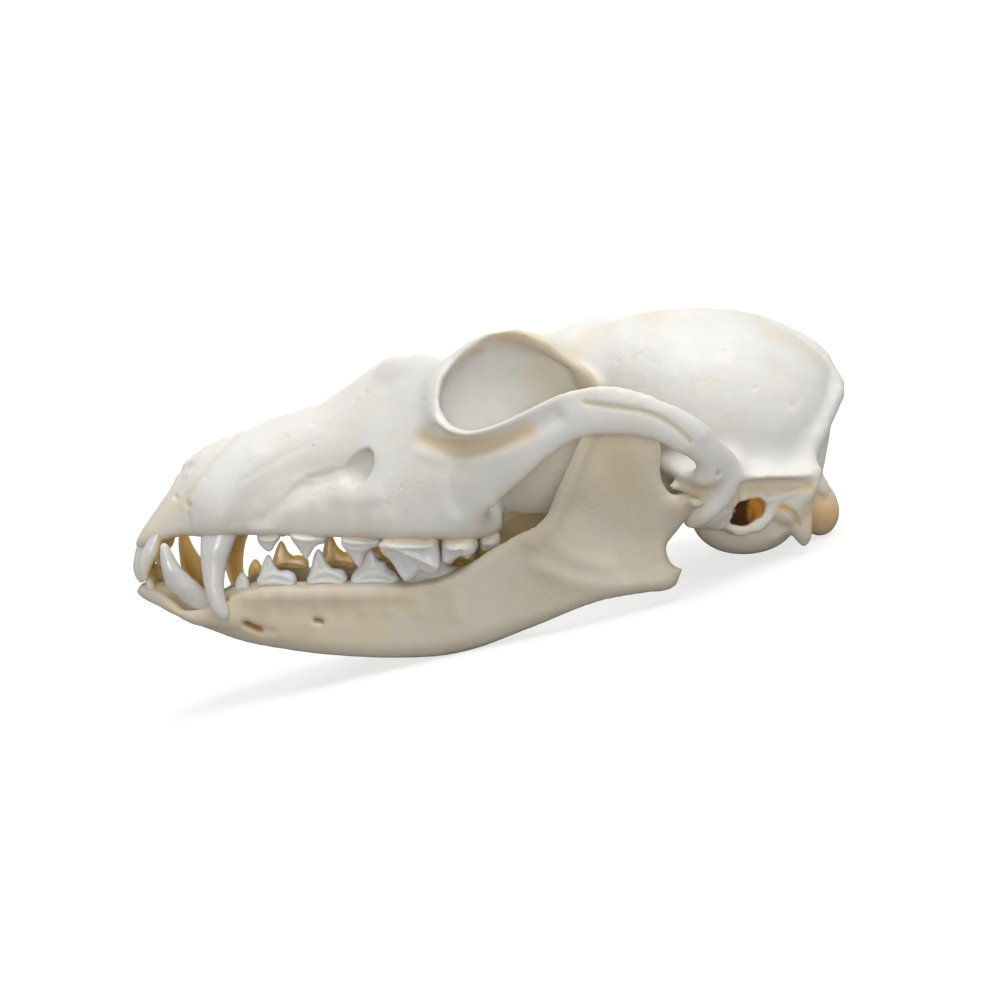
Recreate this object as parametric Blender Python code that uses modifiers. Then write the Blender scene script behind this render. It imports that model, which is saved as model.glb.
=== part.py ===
"""A fox skull with its lower jaw closed, standing on a flat surface. The shapes are laid out in millimetres
in the skull's own frame: x runs back from the snout, y to the animal's right and z up from the upper
tooth row. standUp turns that frame into the resting pose, in metres."""
import math

import bmesh
import bpy
import numpy as np
from mathutils import Euler, Matrix, Vector

restTilt = math.radians(16.75)
jawGap = 0.3
socketGap = 0.3
craniumFaces = 2300
jawFaces = 470
coarseVoxel = 0.9

# x, top, bottom, half width, height of the widest point, squareness above and below
faceRows = [
    (-0.6, -1.4, -3.4, 4.6, -2.6, 2.2, 2.0), (0.8, 1.0, -3.2, 6.6, -1.6, 2.2, 2.2),
    (3, 4.6, -2.6, 8.0, -0.5, 2.2, 2.4), (6, 9.2, -1.4, 8.6, 0.6, 2.2, 2.6),
    (9.4, 14.2, -0.3, 9.0, 1.5, 2.2, 2.8), (13.7, 17.8, 0.1, 11.6, 2.5, 2.1, 3.6),
    (19, 20.7, 0.4, 13.1, 3.0, 2.0, 3.6), (26.2, 23.7, 0.4, 12.2, 2.4, 2.0, 3.6),
    (33, 26.0, 0.4, 12.4, 2.0, 1.9, 3.6), (38.9, 27.9, 0.3, 13.8, 1.8, 1.8, 3.6),
    (46.4, 32.9, 0.4, 16.6, 2.2, 1.65, 3.2), (52, 36.0, 0.4, 19.2, 3.5, 1.6, 3.2),
    (58, 38.2, 0.6, 21.0, 5.0, 1.7, 3.0), (64, 39.0, 1.0, 22.2, 8.0, 1.9, 2.6),
    (70, 37.0, 4.0, 20.0, 12.0, 2.0, 2.2),
]
browRows = [
    (46, 30.5, 24, 5.0, 27, 2.0, 2.0), (54, 36.6, 24, 9.0, 31, 2.2, 2.0), (60, 38.6, 22, 11.5, 34, 2.6, 2.0), (66, 39.4, 20, 13.4, 36.5, 2.8, 1.7),
    (72, 41.2, 18, 14.4, 38.6, 3.0, 1.6), (77, 42.3, 17, 15.4, 39.5, 3.0, 1.5), (82, 42.9, 17, 15.6, 39, 2.6, 1.5),
    (88, 44.2, 16, 13.5, 36, 2.2, 1.8), (94, 45.6, 14, 13.5, 33, 2.0, 2.0),
]
deepRows = [
    (56, 30, 2.0, 12.5, 14, 2.2, 3), (62, 30, 2.5, 12.5, 13, 2.2, 3), (70, 32, 3.0, 9.8, 14, 2.4, 3),
    (78, 32, 2.6, 7.4, 15, 2.4, 3), (86, 34, 2.2, 7.2, 16, 2.4, 3), (94, 36, 2.2, 8.4, 17, 2.4, 3),
    (99, 37, 5.2, 11.0, 18, 2.4, 3), (108, 38, 5.6, 12.5, 18, 2.2, 2.8), (116, 30, 4.8, 12, 14, 2.2, 3),
    (128, 28, 4.0, 10.5, 12, 2.2, 3), (139.5, 22, 3.6, 8.0, 10, 2.2, 3),
]
palateRows = [
    (42, 7, 0.3, 14.8, 3, 3, 3.6), (52, 8, 0.3, 18.9, 3, 3, 3.6), (60, 9, 0.4, 21.6, 3.5, 3, 3.6),
    (68, 8.5, 0.4, 22.6, 3.6, 3, 3.6), (73, 7, 0.7, 20.4, 3.4, 3, 3.6), (77, 5, 1.6, 17.0, 3.2, 3, 3),
]
brainRows = [
    (88, 43.8, 26, 9.5, 36, 2, 2), (94, 45.5, 18, 13.0, 33, 2, 2), (100, 46.2, 12, 17.4, 29.5, 2, 2),
    (108, 46.5, 9, 21.9, 27, 2, 2), (117, 46.4, 7, 23.8, 25, 2, 2.1), (126, 44.9, 6, 23.3, 22.5, 2, 2.2),
    (133, 42.2, 5, 21.2, 19.5, 2, 2.4), (138, 39.2, 4.6, 17.5, 17, 2, 2.4), (141.4, 36.0, 4.6, 12.5, 16, 2, 2),
    (143, 33.0, 7, 7.0, 18, 2, 2),
]
brainHollow = [
    (90, 40.5, 28, 6.5, 34, 2, 2), (94, 43.0, 22, 10.4, 32, 2, 2), (100, 43.8, 14.5, 15.0, 29, 2, 2),
    (108, 44.2, 10.0, 19.6, 26.5, 2, 2), (117, 44.1, 8.4, 21.5, 25, 2, 2), (126, 42.6, 6.8, 21.0, 22.5, 2, 2.4),
    (133, 39.8, 6.2, 18.8, 19.5, 2, 2.6), (138, 36.0, 6.4, 14.0, 17.5, 2, 2.4),
]
# x, y, z, half across, half up
archRows = [
    (48, 11.0, 13.0, 1.5, 5.0), (58, 16.2, 13.2, 2.6, 9.0), (67, 21.2, 13.6, 2.6, 9.4), (72, 24.8, 16.4, 2.1, 8.0),
    (77, 28.8, 19.4, 1.8, 6.6), (82, 32.3, 23.2, 1.6, 5.4), (88, 35.2, 26.6, 1.45, 4.9),
    (95, 37.2, 27.4, 1.4, 4.6), (101, 38.0, 26.8, 1.4, 4.4), (106, 37.9, 24.9, 1.5, 4.6),
    (110.5, 36.6, 21.6, 1.8, 5.0), (114.5, 32.8, 18.2, 2.4, 4.6), (117.5, 27.0, 16.2, 2.8, 4.2),
    (119.5, 20.0, 15.0, 3.0, 4.0),
]
nuchalRows = [
    (145.0, 0, 31.2, 1.5, 2.4), (144.0, 6, 29.4, 1.4, 2.4), (141.4, 12, 25.6, 1.4, 2.4), (138.4, 17.6, 20.6, 1.5, 2.4),
    (135.6, 22, 15.6, 1.8, 2.6), (132.6, 23.2, 10.6, 2.4, 2.6), (131.0, 22.0, 7.0, 2.2, 2.2),
]
ledgeRows = [(117, 29, 16.0, 2.2, 2.0), (121, 27.0, 14.8, 2.0, 1.8), (128, 25.6, 14.0, 1.8, 1.6), (136, 22.6, 14.6, 1.8, 1.8)]
fossaRows = [(110.2, 37.0, 17.6, 4.6, 2.4), (110.8, 31, 16.8, 5.4, 2.5), (111, 24, 16.4, 5.6, 2.8), (111, 17, 16.5, 6.0, 4.0)]
hookRows = [(116.0, 25.5, 14.0, 5.5, 2.0), (115.4, 25.5, 10.4, 5.0, 1.7), (113.6, 25.3, 7.2, 3.8, 1.5),
            (111.2, 25.0, 5.2, 2.4, 1.0)]
browHorn = [(79, 12.0, 39.8, 5.0, 2.6), (84.5, 14.6, 38.6, 3.6, 2.2), (88.6, 16.6, 35.6, 2.6, 1.7),
            (92.2, 17.8, 31.9, 1.3, 1.0)]
spurRows = [(131.5, 18.5, 10, 3.6, 3.4), (133.2, 18.6, 5.5, 3.0, 2.8), (134.4, 18.2, 0.9, 1.6, 1.5)]
noseHollow = [(-5, 0, 2.8, 4.8, 4.2), (3, 0, 5.0, 4.8, 5.6), (12, 0, 9.2, 5.0, 5.8), (26, 0, 12.0, 5.6, 7.4),
              (42, 0, 15.0, 6.8, 10.4), (54, 0, 18.0, 7.1, 13.5), (64, 0, 22.0, 7.1, 13.0),
              (74, 0, 25.0, 6.6, 12.0), (82, 0, 28.0, 5.6, 9.5), (87.5, 0, 30.0, 4.6, 7.0)]
vaultRows = [(5, 0, -3.4, 3.0, 1.6), (20, 0, -1.4, 5.2, 2.6), (45, 0, -1.4, 8.5, 3.0), (66, 0, -1.0, 11.5, 3.0),
             (80, 0, -1.0, 12.0, 2.8)]
greatHole = [(152, 0, 11.0, 7.4, 7.0), (142, 0, 11.8, 7.2, 6.9), (136, 0, 12.4, 7.0, 6.7), (128, 0, 13.2, 6.8, 6.4)]
orbitFloor = [(65, 14.6, 17, 3.2, 8.0), (74, 17.4, 17.5, 4.8, 10.0), (82, 20.0, 18.5, 6.0, 10.5), (88, 21, 20, 6.5, 10)]
earRows = [(122.6, 15, 8.0, 4.4, 4.0), (122.7, 20, 7.6, 4.7, 4.3), (122.8, 24.2, 7.3, 4.7, 4.2)]
earHole = [(122.6, 10, 6.0, 2.0, 2.0), (122.6, 14, 5.8, 6.4, 4.6), (122.7, 19, 6.4, 3.6, 3.4), (122.8, 23, 7.3, 3.3, 2.8),
           (122.8, 29, 7.3, 3.9, 3.3)]
bulla = (123.6, 14.6, 5.3, 10.8, 7.6, 7.8)
condyleKnob = (139.4, 7.6, 5.0, 4.0, 4.4, 4.8)

# side view of one half of the lower jaw: x and z
jawOutline = [
    (-0.9, -12.2), (1.6, -13.9), (8.8, -16.5), (19.1, -20.9), (34.3, -23.2), (46.8, -23.8), (58.7, -23.4), (68.9, -21.3),
    (80.8, -15.9), (92.4, -10.3), (101.9, -7.8), (105.7, -7.0), (109.4, -4.9), (109.0, -2.6), (107.2, -0.4),
    (107.6, 3.0), (109.6, 6.4), (111.8, 9.4), (109.2, 11.2), (106.6, 11.4), (105.2, 14.4), (105.4, 20.0), (104.4, 25.0),
    (101.6, 29.0), (98.0, 30.4), (94.6, 29.2), (92.0, 25.4), (89.9, 20.8), (87.9, 15.8), (85.7, 10.9), (84.4, 7.0),
    (82.4, 4.0), (79.0, 2.4), (75.6, 0.2), (72.0, -3.0), (69.0, -5.8), (65.5, -8.3), (55, -8.8), (40, -9.3), (30, -9.9), (25, -10.8),
    (20, -12.4), (16.5, -14.0), (12.0, -13.6), (7.0, -12.0), (3.4, -10.6), (0.2, -10.6),
]
# x, y of the middle of the bone, half thickness
jawRows = [
    (-1, 2.0, 2.6), (4, 3.2, 4.0), (8, 4.3, 5.2), (12, 4.9, 5.9), (18, 5.8, 5.9), (22, 7.2, 4.6), (26, 8.4, 3.6),
    (32, 9.7, 3.2), (45, 12.1, 3.1), (58, 14.7, 3.3), (70, 18.0, 3.3), (78, 21.2, 2.9), (86, 24.4, 2.2), (96, 26.6, 1.6),
    (104, 27.6, 1.5), (113, 28.2, 1.6),
]
jawPin = [(110.4, 20.5, 10.4, 1.8, 1.8), (110.6, 24.5, 10.9, 2.5, 2.4), (110.9, 29, 11.2, 2.5, 2.3), (111.2, 32.4, 11.2, 1.7, 1.7)]

# gum line centre x, y, z, half length, half width, turn, cusp tips from the centre, root length and lean
upperTeeth = {
    "incisor_1": (0.9, 1.62, -2.6, 1.35, 1.2, 0, [(-1.3, 0.6, -6.6), (-1.4, -0.6, -6.6)], 5.0, (3.5, 0)),
    "incisor_2": (1.6, 4.3, -2.4, 1.4, 1.15, 16, [(-1.2, 0.5, -7.0), (-1.2, -0.5, -6.9)], 5.0, (3.5, 0.3)),
    "incisor_3": (3.4, 7.3, -2.0, 1.8, 1.2, 35, [(-1.6, 0.5, -8.2)], 5.5, (3.0, 0.2)),
    "premolar_1": (28.6, 10.2, 0.5, 2.5, 1.4, 0, [(-0.5, 0.2, -2.5)], 5.0, (0.6, -0.4)),
    "premolar_2": (36.2, 11.2, 0.5, 4.1, 1.7, 6, [(-0.7, 0.3, -4.0), (2.4, 0.2, -1.9)], 5.5, (0, -0.5)),
    "premolar_3": (46.9, 14.0, 0.6, 3.9, 1.9, 10, [(-0.6, 0, -4.8), (2.4, 0, -2.4)], 6.0, (0, -0.5)),
    "premolar_4": (57.4, 17.8, 0.6, 5.9, 2.5, 14,
                   [(-1.2, 0.4, -7.5), (3.6, 0.4, -4.7), (-4.4, 0, -2.2), (-4.2, -3.4, -1.6)], 6.0, (0, -0.5)),
    "molar_1": (67.2, 17.6, 0.6, 3.5, 4.6, 8, [(-1.6, 3.3, -3.9), (1.7, 3.1, -3.4), (-0.5, -3.0, -2.2)], 5.0, (0, -0.5)),
    "molar_2": (73.1, 15.8, 1.0, 1.8, 3.1, 12, [(-0.6, 2.0, -2.6), (0.6, -1.8, -1.8)], 4.0, (0, -0.5)),
}
lowerTeeth = {
    "incisor_1": (3.6, 1.4, -11.0, 1.3, 0.9, 0, [(-0.6, 0, -6.6)], 4.0, (2.5, 0.3)),
    "incisor_2": (4.2, 3.6, -11.0, 1.35, 1.0, 10, [(-0.6, 0, -6.4)], 4.0, (2.5, 0.2)),
    "incisor_3": (5.1, 6.0, -11.2, 1.4, 1.1, 25, [(-0.6, 0.2, -6.0)], 4.0, (2.5, -0.2)),
    "premolar_1": (22.2, 8.7, -11.8, 1.7, 1.2, 0, [(-0.2, 0, -8.5)], 4.5, (0.5, 0)),
    "premolar_2": (29.4, 9.8, -10.0, 3.9, 1.5, 6, [(-1.9, 0, -3.9), (2.4, 0, -6.6)], 5.5, (0, 0)),
    "premolar_3": (39.8, 10.7, -9.3, 4.0, 1.6, 8, [(-1.9, 0, -2.5), (2.6, 0, -6.0)], 6.0, (0, 0)),
    "premolar_4": (49.8, 12.6, -8.9, 4.6, 1.8, 8, [(-1.6, 0, -1.8), (2.0, 0, -4.2), (3.8, 0, -6.0)], 6.0, (0, 0)),
    "molar_1": (62.6, 14.0, -8.7, 6.9, 2.3, 9, [(-4.4, 0, -4.0), (-0.4, 0.2, -1.2), (4.4, 0, -4.9)], 6.0, (0, 0.6)),
    "molar_2": (73.2, 16.4, -8.2, 3.0, 2.0, 14, [(-1.4, 0.6, -4.9), (1.4, -0.5, -5.2)], 5.0, (0, 0.8)),
    "molar_3": (78.3, 18.2, -7.8, 1.5, 1.3, 18, [(0, 0, -5.6)], 3.5, (0, 0.8)),
}
# x, y, z, half length, half width from the root's end to the tip
canineRows = {
    "upper": [(23.6, 7.6, 12.0, 1.2, 1.0), (21.2, 8.8, 7.0, 2.6, 1.8), (18.6, 10.2, 2.4, 3.5, 2.3),
              (18.1, 10.6, 0.8, 3.5, 2.3), (16.9, 11.3, -3.6, 2.4, 2.0), (16.9, 11.8, -6.6, 2.0, 1.7),
              (17.6, 12.2, -9.8, 1.7, 1.5), (18.6, 12.5, -13.0, 1.1, 1.1), (19.2, 12.7, -15.8, 0.35, 0.35)],
    "lower": [(18.0, 6.4, -17.4, 0.9, 0.8), (15.6, 6.7, -16.2, 1.6, 1.3), (13.2, 7.1, -14.9, 2.4, 1.7),
              (11.1, 7.6, -13.2, 3.1, 2.0), (9.6, 8.2, -10.2, 2.6, 1.8), (8.3, 8.8, -7.4, 2.0, 1.6),
              (7.2, 9.2, -4.9, 1.5, 1.3), (6.5, 9.4, -3.0, 1.0, 1.0), (6.0, 9.5, -1.4, 0.35, 0.35)],
}


def startClean():
    for item in list(bpy.data.objects):
        bpy.data.objects.remove(item)
    for collection in list(bpy.data.collections):
        bpy.data.collections.remove(collection)


def evenly(rows, spacing):
    """Catmull-Rom through the rows, resampled at an even spacing along x, y, z."""
    p = np.array(rows, float)
    samples = []
    for i in range(len(p) - 1):
        b, c = p[i], p[i + 1]
        a = p[i - 1] if i else 2 * b - c
        d = p[i + 2] if i + 2 < len(p) else 2 * c - b
        for t in np.linspace(0, 1, 12, endpoint=False):
            samples.append(0.5 * (2 * b + (c - a) * t + (2 * a - 5 * b + 4 * c - d) * t ** 2
                                  + (3 * b - a - 3 * c + d) * t ** 3))
    samples.append(p[-1])
    samples = np.array(samples)
    run = np.r_[0, np.cumsum(np.linalg.norm(np.diff(samples[:, :3], axis=0), axis=1))]
    at = np.linspace(0, run[-1], max(3, int(run[-1] / spacing) + 1))
    return np.stack([np.interp(at, run, samples[:, k]) for k in range(p.shape[1])], 1)


def along(rows, spacing):
    """Rows led by x: smooth rows at an even spacing in x, without overshoot."""
    p = np.array(rows, float)
    x = p[:, 0]
    slope = np.diff(p, axis=0) / np.diff(x)[:, None]
    lean = np.zeros_like(p)
    lean[0], lean[-1] = slope[0], slope[-1]
    for i in range(1, len(x) - 1):
        mean = 0.5 * (slope[i - 1] + slope[i])
        most = 2.2 * np.minimum(abs(slope[i - 1]), abs(slope[i]))
        lean[i] = np.where(slope[i - 1] * slope[i] > 0, np.sign(mean) * np.minimum(abs(mean), most), 0)
    out = []
    for v in np.linspace(x[0], x[-1], max(3, int((x[-1] - x[0]) / spacing) + 1)):
        i = min(int(np.searchsorted(x, v, side="right")) - 1, len(x) - 2)
        h = x[i + 1] - x[i]
        t = (v - x[i]) / h
        out.append((2 * t ** 3 - 3 * t ** 2 + 1) * p[i] + (t ** 3 - 2 * t ** 2 + t) * h * lean[i]
                   + (3 * t ** 2 - 2 * t ** 3) * p[i + 1] + (t ** 3 - t ** 2) * h * lean[i + 1])
    return np.array(out)


def loft(bm, rings):
    loops = [[bm.verts.new(p) for p in ring] for ring in rings]
    n = len(loops[0])
    faces = [bm.faces.new((a[i], a[(i + 1) % n], b[(i + 1) % n], b[i]))
             for a, b in zip(loops, loops[1:]) for i in range(n)]
    faces += [bm.faces.new(loops[0]), bm.faces.new(loops[-1])]
    bmesh.ops.recalc_face_normals(bm, faces=faces)


def power(value, exponent):
    return math.copysign(abs(value) ** exponent, value)


def body(bm, rows, sides=36, spacing=2.0):
    """A skin over upright sections, each with its own top, bottom and width."""
    rings = []
    for x, top, bottom, half, middle, above, below in along(rows, spacing):
        ring = []
        for k in range(sides):
            c, s = math.cos(2 * math.pi * k / sides), math.sin(2 * math.pi * k / sides)
            square = above if s > 0 else below
            reach = top - middle if s > 0 else middle - bottom
            ring.append((x, half * power(c, 2 / square), middle + reach * power(s, 2 / square)))
        rings.append(ring)
    loft(bm, rings)


def rod(bm, rows, sides=14, spacing=1.2, bothSides=True):
    """An oval section carried along a smooth path."""
    rings = []
    path = evenly(rows, spacing)
    for i, r in enumerate(path):
        tangent = path[min(i + 1, len(path) - 1), :3] - path[max(i - 1, 0), :3]
        tangent /= np.linalg.norm(tangent)
        across = np.cross(tangent, (0, 0, 1) if abs(tangent[2]) < 0.8 else (1, 0, 0))
        across /= np.linalg.norm(across)
        high = np.cross(across, tangent)
        rings.append([r[:3] + across * r[3] * math.cos(a) + high * r[4] * math.sin(a)
                      for a in 2 * math.pi * np.arange(sides) / sides])
    for side in (1, -1) if bothSides else (1,):
        loft(bm, [[(p[0], side * p[1], p[2]) for p in ring] for ring in rings])


def ball(bm, x, y, z, rx, ry, rz, turn=(0, 0, 0), bothSides=True):
    for side in (1, -1) if bothSides else (1,):
        spin = Euler((math.radians(turn[0]) * side, math.radians(turn[1]), math.radians(turn[2]) * side))
        place = Matrix.Translation((x, side * y, z)) @ spin.to_matrix().to_4x4() @ Matrix.Diagonal((rx, ry, rz, 1))
        bmesh.ops.create_uvsphere(bm, u_segments=28, v_segments=14, radius=1, matrix=place)


def solid(name, bm):
    mesh = bpy.data.meshes.new(name)
    bm.to_mesh(mesh)
    bm.free()
    item = bpy.data.objects.new(name, mesh)
    bpy.context.scene.collection.objects.link(item)
    return item


def settle(item):
    """Keeps the mesh that the modifiers make."""
    graph = bpy.context.evaluated_depsgraph_get()
    made = bpy.data.meshes.new_from_object(item.evaluated_get(graph))
    item.modifiers.clear()
    item.data = made


def skin(item, voxel, passes):
    step = item.modifiers.new("skin", "REMESH")
    step.mode = "VOXEL"
    step.voxel_size = voxel
    soften = item.modifiers.new("soften", "SMOOTH")
    soften.factor = 0.5
    soften.iterations = passes
    settle(item)


def thin(item, faces):
    step = item.modifiers.new("thin", "DECIMATE")
    count = sum(len(f.vertices) - 2 for f in item.data.polygons)
    step.ratio = min(1.0, faces / count)
    step.use_collapse_triangulate = True
    settle(item)


def carve(item, cutter):
    step = item.modifiers.new("carve", "BOOLEAN")
    step.operation = "DIFFERENCE"
    step.solver = "EXACT"
    step.object = cutter
    settle(item)
    bpy.data.objects.remove(cutter)


def evenSides(item):
    """Copies the left half of the mesh onto the right."""
    bm = bmesh.new()
    bm.from_mesh(item.data)
    bmesh.ops.symmetrize(bm, input=bm.verts[:] + bm.edges[:] + bm.faces[:], direction="-Y", dist=0.01)
    bmesh.ops.triangulate(bm, faces=bm.faces[:])
    bm.to_mesh(item.data)
    bm.free()


def dropCrumbs(item):
    """Keeps the largest connected body of the mesh."""
    bm = bmesh.new()
    bm.from_mesh(item.data)
    left, bodies = set(bm.verts), []
    while left:
        grown, edge = set(), [left.pop()]
        while edge:
            v = edge.pop()
            grown.add(v)
            near = {e.other_vert(v) for e in v.link_edges} & left
            left -= near
            edge += near
        bodies.append(grown)
    crumbs = set(bm.verts) - max(bodies, key=len)
    bmesh.ops.delete(bm, geom=list(crumbs), context="VERTS")
    bm.to_mesh(item.data)
    bm.free()


def join(item, draw):
    """Adds what draw makes to the item's mesh; the next skin fuses them."""
    extra = bmesh.new()
    draw(extra)
    mesh = bpy.data.meshes.new("extra")
    extra.to_mesh(mesh)
    extra.free()
    bm = bmesh.new()
    bm.from_mesh(item.data)
    bm.from_mesh(mesh)
    bm.to_mesh(item.data)
    bm.free()


def fromCenter(bm, amount):
    """Moves every point out along its normal, for a cutter that leaves a gap."""
    bmesh.ops.recalc_face_normals(bm, faces=bm.faces[:])
    bm.normal_update()
    moves = [(v, v.normal * amount) for v in bm.verts]
    for v, move in moves:
        v.co += move


def buildCranium():
    bm = bmesh.new()
    for rows in (faceRows, browRows, deepRows, palateRows, brainRows):
        body(bm, rows)
    for rows in (archRows, nuchalRows, ledgeRows, fossaRows, hookRows, spurRows, earRows):
        rod(bm, rows)
    ball(bm, *bulla, turn=(0, 0, -8))
    ball(bm, *condyleKnob, turn=(0, -12, 20))
    ball(bm, 131, 21.0, 9.5, 4.5, 3.2, 5.0)
    item = solid("cranium", bm)
    skin(item, coarseVoxel, 2)
    bm = bmesh.new()
    ball(bm, 76.0, 22.8, 32.4, 16.4, 12.6, 8.9, turn=(0, -14, 5))
    carve(item, solid("orbits", bm))
    bm = bmesh.new()
    rod(bm, orbitFloor)
    carve(item, solid("orbitFloors", bm))
    join(item, lambda bm: rod(bm, browHorn))
    bm = bmesh.new()
    rod(bm, noseHollow, 20, 2, False)
    carve(item, solid("nose", bm))
    bm = bmesh.new()
    rod(bm, [(66, 0, 0.5, 3.0, 3.0), (77, 0, 1.6, 4.6, 6.0), (88, 0, 1.2, 4.8, 8.0), (102, 0, 0.0, 5.0, 5.4)], 16, 2, False)
    carve(item, solid("choana", bm))
    bm = bmesh.new()
    rod(bm, vaultRows, 16, 3, False)
    carve(item, solid("vault", bm))
    skin(item, coarseVoxel, 3)
    thin(item, craniumFaces)
    evenSides(item)
    bm = bmesh.new()
    body(bm, brainHollow, 14, 5.5)
    carve(item, solid("brain", bm))
    bm = bmesh.new()
    rod(bm, greatHole, 12, 8, False)
    carve(item, solid("greatHole", bm))
    bm = bmesh.new()
    rod(bm, earHole, 8, 4)
    carve(item, solid("ears", bm))
    bm = bmesh.new()
    rod(bm, [(44.5, 17.4, 15.6, 1.7, 2.2), (52, 15.4, 15.8, 1.7, 2.2), (66, 15.2, 16.0, 1.7, 2.0)], 8, 8)
    carve(item, solid("faceHoles", bm))
    return item


def jawSheet(bm, side):
    """One half of the lower jaw: its outline, thickened by how far each point lies inside it."""
    outline = evenly([(x, 0, z) for x, z in jawOutline + jawOutline[:1]], 1.4)[:-1]
    loft(bm, [[(p[0], y, p[2]) for p in outline] for y in (-1.0, 1.0)])


def shapeJaw(item, side):
    outline = evenly([(x, 0, z) for x, z in jawOutline + jawOutline[:1]], 1.4)[:, [0, 2]]
    rows = along(jawRows, 1.0)
    count = len(item.data.vertices)
    co = np.empty(count * 3)
    item.data.vertices.foreach_get("co", co)
    co = co.reshape(-1, 3)
    near = np.full(count, 1e9)
    flat = co[:, [0, 2]]
    for a, b in zip(outline, outline[1:]):
        d = b - a
        t = np.clip((flat - a) @ d / max(d @ d, 1e-9), 0, 1)
        near = np.minimum(near, np.linalg.norm(flat - (a + t[:, None] * d), axis=1))
    middle = np.interp(co[:, 0], rows[:, 0], rows[:, 1])
    thick = np.interp(co[:, 0], rows[:, 0], rows[:, 2])
    lean = np.clip((co[:, 2] + 12) / 40, -0.3, 1) * np.clip((co[:, 0] - 60) / 25, 0, 1)
    gums = np.interp(co[:, 0], [0, 12, 20, 30, 80, 90], [-11, -13.6, -12.4, -9.9, -7.4, -5])
    blunt = np.clip((co[:, 2] - gums + 6.5) / 4, 0, 1) * (co[:, 0] < 84)
    rim = np.clip((co[:, 2] + 8.2) / 2.5, 0, 1) * np.clip((co[:, 0] - 66) / 3, 0, 1) * np.clip((96 - co[:, 0]) / 8, 0, 1)
    slim = (thick - 1.5) * rim
    middle, thick = middle + slim, thick - slim
    blunt = blunt * (1 - rim)
    edge = thick * 1.2 * (1 - blunt) + 1.3 * blunt
    round_ = np.sqrt(np.clip(1 - (1 - np.clip(near / edge, 0, 1)) ** 2, 0.06, 1))
    co[:, 1] = side * (middle + 1.5 * lean) + np.clip(co[:, 1], -1, 1) * thick * round_
    item.data.vertices.foreach_set("co", co.ravel())
    item.data.update()


def buildJaw(name, side):
    bm = bmesh.new()
    jawSheet(bm, side)
    item = solid(name, bm)
    skin(item, 0.8, 0)
    shapeJaw(item, side)
    bm = bmesh.new()
    bm.from_mesh(item.data)
    extra = bmesh.new()
    rod(extra, jawPin, 14, 1.2)
    rod(extra, [(101, 27.4, -4.6, 1.6, 1.6), (105, 27.2, -5.0, 1.9, 1.7), (108.6, 26.6, -4.2, 1.5, 1.2)], 12, 1)
    rod(extra, [(107.2, 27.6, 5.0, 1.8, 3.0), (109.6, 27.8, 8.4, 2.2, 2.6), (110.8, 27.4, 11.0, 2.6, 2.0)], 12, 1)
    wrong = [v for v in extra.verts if v.co.y * side < -0.5 * abs(v.co.y)]
    bmesh.ops.delete(extra, geom=wrong, context="VERTS")
    mesh = bpy.data.meshes.new("extra")
    extra.to_mesh(mesh)
    extra.free()
    bm.from_mesh(mesh)
    bm.to_mesh(item.data)
    bm.free()
    skin(item, coarseVoxel, 2)
    return item


def parted(item, side):
    """Trims one half of the jaw flat at the middle."""
    bm = bmesh.new()
    bmesh.ops.create_cube(bm, size=1, matrix=Matrix.Translation((50, -side * (50 - jawGap / 2), 0))
                          @ Matrix.Diagonal((200, 100, 200, 1)))
    carve(item, solid("middle", bm))


def ovalRing(x, y, z, hx, hy, turn, side, sides):
    c, s = math.cos(math.radians(turn)), math.sin(math.radians(turn))
    ring = []
    for k in range(sides):
        a = 2 * math.pi * (k + 0.5) / sides
        u, v = hx * math.cos(a), hy * math.sin(a)
        ring.append((x + u * c - v * s, side * (y + u * s + v * c), z))
    return ring


def toothShell(bm, spec, side, up):
    x, y, gum, hx, hy, turn, tips, root, lean = spec
    c, s = math.cos(math.radians(turn)), math.sin(math.radians(turn))
    points = ovalRing(x, y, gum, hx, hy, turn, side, 8)
    points += ovalRing(x, y, gum - up * 1.0, hx * 1.0, hy * 1.04, turn, side, 8)
    points += ovalRing(x + lean[0], y + lean[1], gum + up * root, hx * 0.55, hy * 0.5, turn, side, 6)
    for dx, dy, z in tips:
        points += ovalRing(x + dx * c - dy * s, y + dx * s + dy * c, z, 0.42, 0.36, turn, side, 4)
    verts = [bm.verts.new(p) for p in points]
    hull = bmesh.ops.convex_hull(bm, input=verts)
    loose = {v for v in hull["geom_interior"] if isinstance(v, bmesh.types.BMVert)}
    bmesh.ops.delete(bm, geom=list(loose), context="VERTS")


def toothMesh(kind, upper, side):
    bm = bmesh.new()
    up = 1 if upper else -1
    if kind == "canine":
        rows = canineRows["upper" if upper else "lower"]
        loft(bm, [ovalRing(*row[:3], row[3], row[4], 0, side, 8) for row in rows])
    else:
        toothShell(bm, (upperTeeth if upper else lowerTeeth)[kind], side, up)
    bmesh.ops.recalc_face_normals(bm, faces=bm.faces[:])
    return bm


def standUp(item):
    turn = Matrix.Rotation(restTilt, 4, "Y")
    item.data.transform(Matrix.Scale(0.001, 4) @ turn)


def paint(item, color, roughness):
    material = bpy.data.materials.new(item.name)
    material.use_nodes = True
    shader = material.node_tree.nodes["Principled BSDF"]
    shader.inputs["Base Color"].default_value = (*color, 1)
    shader.inputs["Roughness"].default_value = roughness
    item.data.materials.clear()
    item.data.materials.append(material)


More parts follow.
